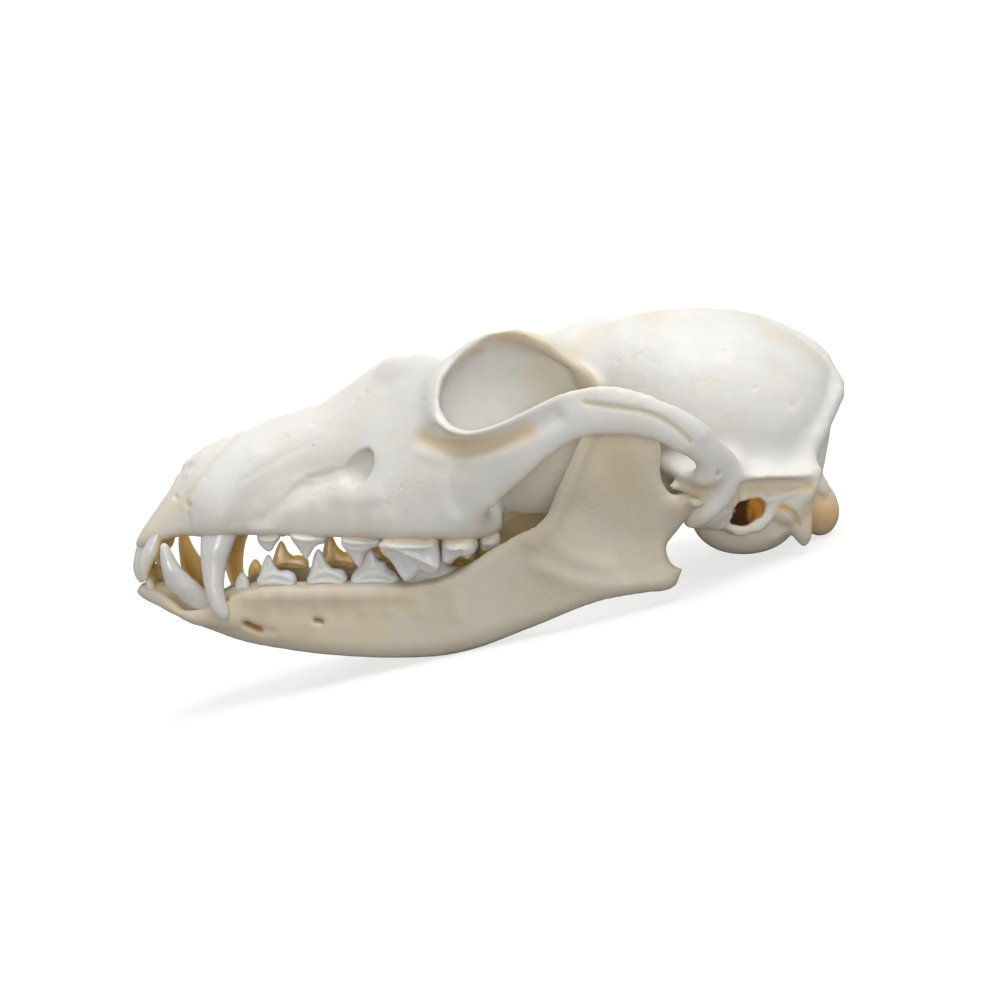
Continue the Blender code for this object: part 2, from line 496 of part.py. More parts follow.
startClean()
group = bpy.data.collections.new("fox_skull")
bpy.context.scene.collection.children.link(group)
cranium = buildCranium()
bm = bmesh.new()
rod(bm, [(p[0], p[1], p[2], p[3] + 0.5, p[4] + 0.5) for p in jawPin], 10, 2.5)
carve(cranium, solid("jointRoom", bm))
leftJaw = buildJaw("mandible_left", -1)
thin(leftJaw, jawFaces)
parted(leftJaw, -1)
teeth = []
for upper, table in ((True, upperTeeth), (False, lowerTeeth)):
    for kind in [*table, "canine"]:
        for word, side in (("left", -1), ("right", 1)):
            teeth.append(solid(f"{kind}_{'upper' if upper else 'lower'}_{word}", toothMesh(kind, upper, side)))
            if upper or side < 0:
                bm = toothMesh(kind, upper, side)
                fromCenter(bm, socketGap + 0.05)
                carve(cranium if upper else leftJaw, solid("socket", bm))
dropCrumbs(cranium)
dropCrumbs(leftJaw)
rightJaw = bpy.data.objects.new("mandible_right", leftJaw.data.copy())
bpy.context.scene.collection.objects.link(rightJaw)
rightJaw.data.transform(Matrix.Scale(-1, 4, (0, 1, 0)))
rightJaw.data.flip_normals()
nodes = [cranium, leftJaw, rightJaw, *teeth]
for item in nodes:
    standUp(item)
lowest = min(v.co.z for item in nodes for v in item.data.vertices)
xs = [v.co.x for item in nodes for v in item.data.vertices]
shift = Matrix.Translation((-(min(xs) + max(xs)) / 2, 0, -lowest))
for item in nodes:
    item.data.transform(shift)
    bpy.context.scene.collection.objects.unlink(item)
    group.objects.link(item)
    if item in teeth:
        paint(item, (0.8, 0.79, 0.76), 0.45)
    else:
        paint(item, (0.86, 0.84, 0.78), 0.6)
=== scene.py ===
import math

import bmesh
import bpy
import numpy as np
from mathutils import Euler, Matrix, Vector


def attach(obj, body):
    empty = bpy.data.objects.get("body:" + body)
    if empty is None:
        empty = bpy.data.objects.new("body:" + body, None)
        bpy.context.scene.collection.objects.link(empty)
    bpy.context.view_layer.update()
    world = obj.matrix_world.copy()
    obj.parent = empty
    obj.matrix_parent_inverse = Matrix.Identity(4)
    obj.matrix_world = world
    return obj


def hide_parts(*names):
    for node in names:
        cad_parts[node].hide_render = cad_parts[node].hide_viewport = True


# Shapes are laid out in millimetres in the skull's own frame: x runs back from the snout, y to the
# animal's right, z up from the upper tooth row. standing turns them into the resting pose, in metres.
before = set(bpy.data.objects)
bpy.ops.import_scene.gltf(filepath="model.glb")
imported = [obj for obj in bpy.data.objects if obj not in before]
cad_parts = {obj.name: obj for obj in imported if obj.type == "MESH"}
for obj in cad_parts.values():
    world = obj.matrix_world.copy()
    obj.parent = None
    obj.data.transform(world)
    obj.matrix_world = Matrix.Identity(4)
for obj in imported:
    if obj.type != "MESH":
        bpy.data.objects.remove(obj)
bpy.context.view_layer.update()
print("frame loaded:", len(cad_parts), "solids")

pose = {"tilt": 16.75, "shift": (-0.0724937, 0.0, 0.0401819)}
standing = (Matrix.Translation(pose["shift"]) @ Matrix.Rotation(math.radians(pose["tilt"]), 4, "Y")
            @ Matrix.Scale(0.001, 4))


# Camera, light and floor

photoCamera = {"aim": (75.0, 0.0, 6.6), "distance": 330.0, "elevation": 7.0, "focalPixels": 1584,
               "imageWidth": 1001, "sensor": 36.0, "clip": (0.01, 20)}


def setCamera(info):
    up = math.radians(info["elevation"])
    back = Vector((0, -math.cos(up), math.sin(up)))
    high = Vector((0, math.sin(up), math.cos(up)))
    axes = Matrix((Vector((1, 0, 0)), high, back)).transposed().to_4x4()
    seat = Matrix.Translation(Vector(info["aim"]) + back * info["distance"]) @ axes
    camera = bpy.data.objects.new("photoCamera", bpy.data.cameras.new("photoCamera"))
    bpy.context.scene.collection.objects.link(camera)
    camera.data.sensor_width = info["sensor"]
    camera.data.lens = info["focalPixels"] / info["imageWidth"] * info["sensor"]
    camera.data.clip_start, camera.data.clip_end = info["clip"]
    where, turn, _ = (standing @ seat).decompose()
    camera.location = where
    camera.rotation_mode = "QUATERNION"
    camera.rotation_quaternion = turn
    bpy.context.scene.camera = camera


setCamera(photoCamera)

# Each sun: strength, spread and turn in degrees. skySeen is the white that the camera sees behind.
studio = {
    "skyLight": 0.38, "skyTint": (0.975, 0.99, 1.0), "skySeen": 1.02,
    "suns": {"key": (2.12, 50, (12, 17, 0)), "front": (0.82, 14, (83, 0, 2)),
             "rear": (0.9, 30, (-62, 0, 0))},
    "floorSize": 6.0, "floorWhite": 0.3, "floorLift": 0.73, "floorRoughness": 0.95, "floorShine": 0.1,
}


def setInputs(node, values):
    for name, value in values.items():
        node.inputs[name].default_value = value


def setSky(info):
    bpy.context.scene.view_settings.view_transform = "Standard"
    world = bpy.data.worlds.new("studioSky")
    bpy.context.scene.world = world
    world.use_nodes = True
    nodes, links = world.node_tree.nodes, world.node_tree.links
    nodes.clear()
    light = nodes.new("ShaderNodeBackground")
    setInputs(light, {"Color": (*info["skyTint"], 1), "Strength": info["skyLight"]})
    seen = nodes.new("ShaderNodeBackground")
    setInputs(seen, {"Color": (1, 1, 1, 1), "Strength": info["skySeen"]})
    mix = nodes.new("ShaderNodeMixShader")
    links.new(nodes.new("ShaderNodeLightPath").outputs["Is Camera Ray"], mix.inputs[0])
    links.new(light.outputs[0], mix.inputs[1])
    links.new(seen.outputs[0], mix.inputs[2])
    links.new(mix.outputs[0], nodes.new("ShaderNodeOutputWorld").inputs["Surface"])


def setSuns(suns):
    for name, (strength, spread, turn) in suns.items():
        lamp = bpy.data.objects.new(name + "Light", bpy.data.lights.new(name + "Light", "SUN"))
        lamp.data.energy = strength
        lamp.data.angle = math.radians(spread)
        lamp.rotation_euler = [math.radians(v) for v in turn]
        bpy.context.scene.collection.objects.link(lamp)


def setFloor(info):
    # pale paper, lifted to white where the camera sees it, so that it lights the skull less than it shows
    bm = bmesh.new()
    bmesh.ops.create_grid(bm, x_segments=8, y_segments=8, size=info["floorSize"])
    mesh = bpy.data.meshes.new("floor")
    bm.to_mesh(mesh)
    bm.free()
    floor = bpy.data.objects.new("floor", mesh)
    bpy.context.scene.collection.objects.link(floor)
    paper = bpy.data.materials.new("palePaper")
    paper.use_nodes = True
    nodes, links = paper.node_tree.nodes, paper.node_tree.links
    shader = nodes["Principled BSDF"]
    setInputs(shader, {"Base Color": (info["floorWhite"],) * 3 + (1,), "Roughness": info["floorRoughness"],
                       "Specular IOR Level": info["floorShine"], "Emission Color": (1, 1, 1, 1)})
    lift = nodes.new("ShaderNodeMath")
    lift.operation = "MULTIPLY"
    lift.inputs[1].default_value = info["floorLift"]
    links.new(nodes.new("ShaderNodeLightPath").outputs["Is Camera Ray"], lift.inputs[0])
    links.new(lift.outputs[0], shader.inputs["Emission Strength"])
    mesh.materials.append(paper)


setSky(studio)
setSuns(studio["suns"])
setFloor(studio)
print("camera, light and floor set")


# Shape helpers

def evenly(rows, spacing):
    # a smooth curve through the rows, resampled at an even spacing along x, y, z
    p = np.array(rows, float)
    samples = []
    for i in range(len(p) - 1):
        b, c = p[i], p[i + 1]
        a = p[i - 1] if i else 2 * b - c
        d = p[i + 2] if i + 2 < len(p) else 2 * c - b
        for t in np.linspace(0, 1, 12, endpoint=False):
            samples.append(0.5 * (2 * b + (c - a) * t + (2 * a - 5 * b + 4 * c - d) * t ** 2
                                  + (3 * b - a - 3 * c + d) * t ** 3))
    samples.append(p[-1])
    samples = np.array(samples)
    run = np.r_[0, np.cumsum(np.linalg.norm(np.diff(samples[:, :3], axis=0), axis=1))]
    at = np.linspace(0, run[-1], max(3, int(run[-1] / spacing) + 1))
    return np.stack([np.interp(at, run, samples[:, k]) for k in range(p.shape[1])], 1)


def alongX(rows, spacing):
    # rows led by x: smooth rows at an even spacing in x, without overshoot
    p = np.array(rows, float)
    x = p[:, 0]
    slope = np.diff(p, axis=0) / np.diff(x)[:, None]
    lean = np.zeros_like(p)
    lean[0], lean[-1] = slope[0], slope[-1]
    for i in range(1, len(x) - 1):
        mean = 0.5 * (slope[i - 1] + slope[i])
        most = 2.2 * np.minimum(abs(slope[i - 1]), abs(slope[i]))
        lean[i] = np.where(slope[i - 1] * slope[i] > 0, np.sign(mean) * np.minimum(abs(mean), most), 0)
    out = []
    for v in np.linspace(x[0], x[-1], max(3, int((x[-1] - x[0]) / spacing) + 1)):
        i = min(int(np.searchsorted(x, v, side="right")) - 1, len(x) - 2)
        h = x[i + 1] - x[i]
        t = (v - x[i]) / h
        out.append((2 * t ** 3 - 3 * t ** 2 + 1) * p[i] + (t ** 3 - 2 * t ** 2 + t) * h * lean[i]
                   + (3 * t ** 2 - 2 * t ** 3) * p[i + 1] + (t ** 3 - t ** 2) * h * lean[i + 1])
    return np.array(out)


def loft(bm, rings):
    # a capped circle, extruded from ring to ring
    circle = bmesh.ops.create_circle(bm, cap_ends=True, radius=1, segments=len(rings[0]))
    face = circle["verts"][0].link_faces[0]
    first = list(face.verts)
    for index, ring in enumerate(rings):
        if index:
            face = bmesh.ops.extrude_discrete_faces(bm, faces=[face])["faces"][0]
        for v, p in zip(face.verts, ring):
            v.co = p
    start = bmesh.ops.contextual_create(bm, geom=first)["faces"]
    skinned = {f for v in first for f in v.link_faces}
    grown = set(skinned)
    while grown:
        grown = {f for g in grown for e in g.edges for f in e.link_faces} - skinned
        skinned |= grown
    bmesh.ops.recalc_face_normals(bm, faces=list(skinned | set(start)))


def power(value, exponent):
    # keeps the value's sign
    return math.copysign(abs(value) ** exponent, value)


def body(bm, rows, sides=48, spacing=1.5):
    # a skin over upright sections, each with its own top, bottom, width and squareness
    rings = []
    for x, top, bottom, half, middle, above, below in alongX(rows, spacing):
        ring = []
        for k in range(sides):
            c, s = math.cos(2 * math.pi * k / sides), math.sin(2 * math.pi * k / sides)
            square = above if s > 0 else below
            tall = top - middle if s > 0 else middle - bottom
            ring.append((x, half * power(c, 2 / square), middle + tall * power(s, 2 / square)))
        rings.append(ring)
    loft(bm, rings)


def rod(bm, rows, sides=20, spacing=0.9, bothSides=True, twist=0):
    # an oval section carried along a smooth path; twist turns the oval, in degrees
    rings = []
    path = evenly(rows, spacing)
    for i, r in enumerate(path):
        tangent = path[min(i + 1, len(path) - 1), :3] - path[max(i - 1, 0), :3]
        tangent /= np.linalg.norm(tangent)
        across = np.cross(tangent, (0, 0, 1) if abs(tangent[2]) < 0.8 else (1, 0, 0))
        across /= np.linalg.norm(across)
        high = np.cross(across, tangent)
        c, s = math.cos(math.radians(twist)), math.sin(math.radians(twist))
        across, high = across * c + high * s, high * c - across * s
        rings.append([r[:3] + across * r[3] * math.cos(a) + high * r[4] * math.sin(a)
                      for a in 2 * math.pi * np.arange(sides) / sides])
    for side in (1, -1) if bothSides else (1,):
        loft(bm, [[(p[0], side * p[1], p[2]) for p in ring] for ring in rings])


def ball(bm, x, y, z, rx, ry, rz, turn=(0, 0, 0), flat=1.0):
    # an ellipsoid on each side; flat below 1 gives it a flatter floor towards the middle plane
    for side in (1, -1):
        spin = Euler((math.radians(turn[0]) * side, math.radians(turn[1]), math.radians(turn[2]) * side))
        seat = (Matrix.Translation((x, side * y, z)) @ spin.to_matrix().to_4x4()
                @ Matrix.Diagonal((rx, ry, rz, 1)))
        for v in bmesh.ops.create_uvsphere(bm, u_segments=40, v_segments=20, radius=1)["verts"]:
            v.co.y = power(v.co.y, flat)
            v.co = seat @ v.co


def solid(name, bm):
    # an object from the drawn mesh, which is freed
    mesh = bpy.data.meshes.new(name)
    bm.to_mesh(mesh)
    bm.free()
    item = bpy.data.objects.new(name, mesh)
    bpy.context.scene.collection.objects.link(item)
    return item


def settle(item):
    # applies the item's modifiers
    graph = bpy.context.evaluated_depsgraph_get()
    made = bpy.data.meshes.new_from_object(item.evaluated_get(graph))
    item.modifiers.clear()
    item.data = made


def skin(item, voxel, passes):
    # one closed skin around all that the item holds, smoothed
    step = item.modifiers.new("skin", "REMESH")
    step.mode = "VOXEL"
    step.voxel_size = voxel
    soften = item.modifiers.new("soften", "SMOOTH")
    soften.factor = 0.5
    soften.iterations = passes
    settle(item)


def thin(item, triangles):
    # takes the item down to this many triangles, where it has more
    count = sum(len(f.vertices) - 2 for f in item.data.polygons)
    if count <= triangles:
        return
    step = item.modifiers.new("thin", "DECIMATE")
    step.ratio = triangles / count
    step.use_collapse_triangulate = True
    settle(item)


def carve(item, cutter):
    # cuts the cutter's shape away and removes the cutter
    step = item.modifiers.new("carve", "BOOLEAN")
    step.operation = "DIFFERENCE"
    step.solver = "EXACT"
    step.object = cutter
    settle(item)
    bpy.data.objects.remove(cutter)


def join(item, draw):
    # adds what draw makes to the item's mesh
    extra = bmesh.new()
    draw(extra)
    mesh = bpy.data.meshes.new("extra")
    extra.to_mesh(mesh)
    extra.free()
    bm = bmesh.new()
    bm.from_mesh(item.data)
    bm.from_mesh(mesh)
    bm.to_mesh(item.data)
    bm.free()


# Sculpting helpers: they read a mesh into arrays, move its points and keep colour masks beside them

def readForm(item):
    count = len(item.data.vertices)
    co, normal = np.empty(count * 3), np.empty(count * 3)
    item.data.vertices.foreach_get("co", co)
    item.data.vertices.foreach_get("normal", normal)
    form = {"item": item, "co": co.reshape(-1, 3), "normal": normal.reshape(-1, 3)}
    for mask in ("stainAndPaintedLight", "seam", "amber", "shade"):
        form[mask] = np.zeros(count)
    return form


def writeForm(form, tints=()):
    data = form["item"].data
    data.vertices.foreach_set("co", form["co"].ravel())
    for name in tints:
        mask = data.attributes.new(name, "FLOAT", "POINT")
        mask.data.foreach_set("value", np.clip(form[name], 0, 1).astype(np.float32))
    data.update()


def fold(points):
    # both sides of the skull at once: every stroke is given on the side where y is positive
    return points * np.sign(np.c_[np.ones(len(points)), points[:, 1:2], np.ones(len(points))] + 1e-9)


def ramp(values, start, run):
    # 0 at the start and 1 after the run; a negative run rises the other way
    return np.clip((values - start) / run, 0, 1)


def distanceTo(points, path):
    path = np.array(path, float)
    if len(path) == 1:
        return np.linalg.norm(points - path[0], axis=1)
    near = np.full(len(points), 1e9)
    for a, b in zip(path, path[1:]):
        d = b - a
        t = np.clip((points - a) @ d / max(d @ d, 1e-9), 0, 1)
        near = np.minimum(near, np.linalg.norm(points - (a + t[:, None] * d), axis=1))
    return near


def reach(form, path, width, least=0):
    # how strongly a stroke along the path touches each point, from 0 to 1. A path of (x, z) points is
    # seen from the side: it touches what faces that way, at least this far from the middle plane.
    points = fold(form["co"])
    path = np.array(path, float)
    if path.shape[1] == 2:
        path = np.c_[path[:, 0], np.zeros(len(path)), path[:, 1]]
        apart = distanceTo(points * (1, 0, 1), evenly(path, 1.2) if len(path) > 2 else path)
        outward = form["normal"][:, 1] * np.sign(form["co"][:, 1])
        return np.exp(-(apart / width) ** 2) * (np.clip(outward * 3, 0, 1) * ramp(points[:, 1], least, 1.5))
    return np.exp(-(distanceTo(points, evenly(path, 1.2) if len(path) > 2 else path) / width) ** 2)


def stroke(form, path, width, depth, least=0):
    form["co"] += form["normal"] * (depth * reach(form, path, width, least))[:, None]


def relax(form, weight, passes):
    # smooths the form where the weight is above 0
    data = form["item"].data
    edges = np.empty(len(data.edges) * 2, np.int64)
    data.edges.foreach_get("vertices", edges)
    a, b = edges[0::2], edges[1::2]
    count = np.bincount(edges, minlength=len(weight))
    for _ in range(passes):
        for axis in range(3):
            v = form["co"][:, axis]
            mean = (np.bincount(a, v[b], len(v)) + np.bincount(b, v[a], len(v))) / count
            form["co"][:, axis] = v + weight * (mean - v)


def nearSpots(form, spots):
    # 1 inside the balls (x, y, z, radius), falling to 0 half a radius further out
    points = fold(form["co"])
    return np.max([np.clip(3 - 2 * np.linalg.norm(points - spot[:3], axis=1) / spot[3], 0, 1)
                   for spot in spots], axis=0)


def tint(form, name, path, width, amount, least=0):
    form[name] = np.maximum(form[name], amount * reach(form, path, width, least))


def paint(form, tints):
    for name, marks in tints.items():
        for mark in marks:
            tint(form, name, *mark)


hashFactors = (374761393, 668265263, 2147483647, 1274126177)  # large odd numbers, which scatter the noise


def waver(points, size, seed):
    # smooth noise from -1 to 1 with lumps of about this size
    p = points / size + seed * 17.31
    base = np.floor(p).astype(np.int64)
    f = p - base
    f = f * f * (3 - 2 * f)
    total = np.zeros(len(points))
    a, b, c, mix = hashFactors
    for dx, dy, dz in np.ndindex(2, 2, 2):
        k = (base[:, 0] + dx) * a + (base[:, 1] + dy) * b + (base[:, 2] + dz) * c
        k = (k ^ (k >> 13)) * mix
        k = (k ^ (k >> 16)) & 0xFFFF
        part = np.abs(1 - dx - f[:, 0]) * np.abs(1 - dy - f[:, 1]) * np.abs(1 - dz - f[:, 2])
        total += part * (k / 32767.5 - 1)
    return total


def lumps(form, waves):
    # each wave has a size, a seed and a height
    return sum(waver(form["co"], size, seed) * height for size, seed, height in waves)


# Materials

def maskNode(tree, name):
    node = tree.nodes.new("ShaderNodeAttribute")
    node.attribute_name = name
    return node.outputs["Fac"]


def mathNode(tree, operation, a, b=None):
    node = tree.nodes.new("ShaderNodeMath")
    node.operation = operation
    for slot, value in zip(node.inputs, (a, b)):
        if isinstance(value, (int, float)):
            slot.default_value = value
        elif value is not None:
            tree.links.new(value, slot)
    return node.outputs[0]


def times(tree, a, b):
    return mathNode(tree, "MULTIPLY", a, b)


def less(tree, a, b):
    return mathNode(tree, "SUBTRACT", a, b)


def mixNode(tree, factor, low, high):
    # low is a colour or a socket, high is a colour
    node = tree.nodes.new("ShaderNodeMix")
    node.data_type = "RGBA"
    tree.links.new(factor, node.inputs["Factor"])
    if isinstance(low, tuple):
        node.inputs["A"].default_value = (*low, 1)
    else:
        tree.links.new(low, node.inputs["A"])
    node.inputs["B"].default_value = (*high, 1)
    return [s for s in node.outputs if s.type == "RGBA"][0]


def rampNode(tree, value, low, high):
    node = tree.nodes.new("ShaderNodeMapRange")
    node.interpolation_type = "SMOOTHSTEP"
    tree.links.new(value, node.inputs["Value"])
    setInputs(node, {"From Min": low, "From Max": high})
    return node.outputs["Result"]


def noiseNode(tree, coords, scale, factor, settings):
    # a noise at so many times the scale
    node = tree.nodes.new("ShaderNodeTexNoise")
    setInputs(node, settings)
    tree.links.new(coords, node.inputs["Vector"])
    tree.links.new(times(tree, scale, factor), node.inputs["Scale"])
    return node.outputs["Fac"]


def effectGroup(name, outputs):
    group = bpy.data.node_groups.new(name, "ShaderNodeTree")
    group.interface.new_socket("Scale", in_out="INPUT", socket_type="NodeSocketFloat")
    for label in outputs:
        group.interface.new_socket(label, in_out="OUTPUT", socket_type="NodeSocketFloat")
    scale = group.nodes.new("NodeGroupInput").outputs["Scale"]
    coords = group.nodes.new("ShaderNodeTexCoord").outputs["Object"]
    return group, scale, coords, group.nodes.new("NodeGroupOutput").inputs


def makeMottle():
    # broad cloudy patches and a finer mottle, both from 0 to 1
    group, scale, coords, end = effectGroup("boneMottle", ("Broad", "Fine"))
    for label, factor, detail in (("Broad", 1.0, 3), ("Fine", 6.0, 4)):
        noise = noiseNode(group, coords, scale, factor, {"Detail": detail, "Roughness": 0.55})
        group.links.new(rampNode(group, noise, 0.32, 0.68), end[label])
    return group


def makeGrain():
    # height of the fine bone surface: a soft grain, with small pores and winding veins in patches
    group, scale, coords, end = effectGroup("boneGrain", ("Height", "Pores"))
    grain = noiseNode(group, coords, scale, 1.0, {"Detail": 5, "Roughness": 0.62})
    patch = rampNode(group, noiseNode(group, coords, scale, 0.12, {}), 0.52, 0.68)
    cells = group.nodes.new("ShaderNodeTexVoronoi")
    cells.feature = "F1"
    group.links.new(coords, cells.inputs["Vector"])
    group.links.new(times(group, scale, 0.8), cells.inputs["Scale"])
    outside = rampNode(group, cells.outputs["Distance"], 0.02, 0.16)
    pores = times(group, less(group, 1.0, outside), patch)
    lines = noiseNode(group, coords, scale, 0.22, {"Detail": 3, "Distortion": 0.8})
    apart = mathNode(group, "ABSOLUTE", less(group, lines, 0.5))
    veins = times(group, less(group, 1.0, rampNode(group, apart, 0.0, 0.045)), patch)
    height = less(group, less(group, grain, times(group, pores, 0.6)), times(group, veins, 0.45))
    group.links.new(height, end["Height"])
    group.links.new(mathNode(group, "MAXIMUM", pores, times(group, veins, 0.5)), end["Pores"])
    return group


mottleGroup = makeMottle()
grainGroup = makeGrain()

# Layers: the mask, its share, and the colour that it lays over the ones before. A mask comes from a group or
# is painted on the mesh. Bump: height, strength, distance. Glow: subsurface weight, radius, scale.
# Coat: weight, roughness.
# The stain layer holds real ochre stains, painted shade in recesses and under the bone, and painted light on
# faces turned inwards. The shade layer, with its depth colour, is painted shade.
boneLayers = (("Broad", 0.8, "warm"), ("Fine", 0.35, "cool"), ("Pores", 0.25, "seam"),
              ("stainAndPaintedLight", 0.9, "stainAndPaintedLight"), ("seam", 1, "seam"), ("amber", 1, "amber"), ("shade", 1, "depth"))
boneGlow = (0.12, (1.0, 0.7, 0.45), 0.0018)
skullFinish = {
    "name": "cleanedBone", "base": (0.815, 0.80, 0.765), "warm": (0.785, 0.75, 0.665),
    "cool": (0.73, 0.735, 0.74), "stainAndPaintedLight": (0.73, 0.565, 0.31), "seam": (0.70, 0.58, 0.37),
    "depth": (0.10, 0.045, 0.02), "amber": (0.95, 0.46, 0.08), "layers": boneLayers, "mottleScale": 55.0,
    "grainScale": 900.0, "bump": ("Height", 0.6, 0.00012), "roughness": (0.42, 0.6), "glow": boneGlow,
}
# The jaw's base colour is partly its own cream tone and partly painted shade, darker than the cranium's
# bone.
jawFinishWithPaintedShade = {
    "name": "jawBone", "base": (0.66, 0.60, 0.49), "warm": (0.61, 0.52, 0.385), "cool": (0.63, 0.59, 0.52),
    "stainAndPaintedLight": (0.70, 0.52, 0.25), "seam": (0.62, 0.50, 0.30), "depth": (0.16, 0.075, 0.03),
    "amber": (0.52, 0.27, 0.05), "layers": boneLayers, "mottleScale": 45.0,
    "grainScale": 900.0, "bump": ("Height", 0.6, 0.0001), "roughness": (0.38, 0.55), "glow": boneGlow,
}
# The root colour is laid on the stained necks of the teeth, and as painted light on the side that faces the
# tongue, standing in for light shining through the teeth.
enamelFinish = {
    "name": "toothEnamel", "base": (0.70, 0.70, 0.695), "warm": (0.70, 0.665, 0.59),
    "root": (1.0, 0.71, 0.28), "layers": (("Broad", 0.5, "warm"), ("stainAndPaintedLight", 1, "root")),
    "mottleScale": 120.0, "bump": ("Fine", 0.35, 0.00006), "roughness": (0.18, 0.32),
    "glow": (0.5, (1.0, 0.6, 0.35), 0.003), "coat": (0.15, 0.2),
}


def groupNode(tree, group, scale):
    node = tree.nodes.new("ShaderNodeGroup")
    node.node_tree = group
    node.inputs["Scale"].default_value = scale
    return dict(node.outputs.items())


def makeMaterial(info):
    material = bpy.data.materials.new(info["name"])
    material.use_nodes = True
    tree = material.node_tree
    shader = tree.nodes["Principled BSDF"]
    effects = groupNode(tree, mottleGroup, info["mottleScale"])
    if "grainScale" in info:
        effects.update(groupNode(tree, grainGroup, info["grainScale"]))
    color = info["base"]
    for name, share, over in info["layers"]:
        mask = effects[name] if name in effects else maskNode(tree, name)
        color = mixNode(tree, times(tree, mask, share), color, info[over])
    tree.links.new(color, shader.inputs["Base Color"])
    rough = tree.nodes.new("ShaderNodeMapRange")
    low, high = info["roughness"]
    setInputs(rough, {"To Min": low, "To Max": high})
    tree.links.new(effects["Fine"], rough.inputs["Value"])
    tree.links.new(rough.outputs["Result"], shader.inputs["Roughness"])
    height, strength, distance = info["bump"]
    bump = tree.nodes.new("ShaderNodeBump")
    setInputs(bump, {"Strength": strength, "Distance": distance})
    tree.links.new(effects[height], bump.inputs["Height"])
    tree.links.new(bump.outputs["Normal"], shader.inputs["Normal"])
    weight, radius, scale = info["glow"]
    setInputs(shader, {"Subsurface Weight": weight, "Subsurface Radius": radius, "Subsurface Scale": scale})
    if "coat" in info:
        weight, dull = info["coat"]
        setInputs(shader, {"Coat Weight": weight, "Coat Roughness": dull})
    return material


boneMaterial = makeMaterial(skullFinish)
jawToneAndShadeMaterial = makeMaterial(jawFinishWithPaintedShade)
enamelMaterial = makeMaterial(enamelFinish)
print("materials made")


def place(item, node, material):
    # stands the finished piece in the resting pose and hands it to the frame
    item.data.transform(standing)
    item.data.materials.clear()
    item.data.materials.append(material)
    for face in item.data.polygons:
        face.use_smooth = True
    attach(item, "root")
    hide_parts(node)


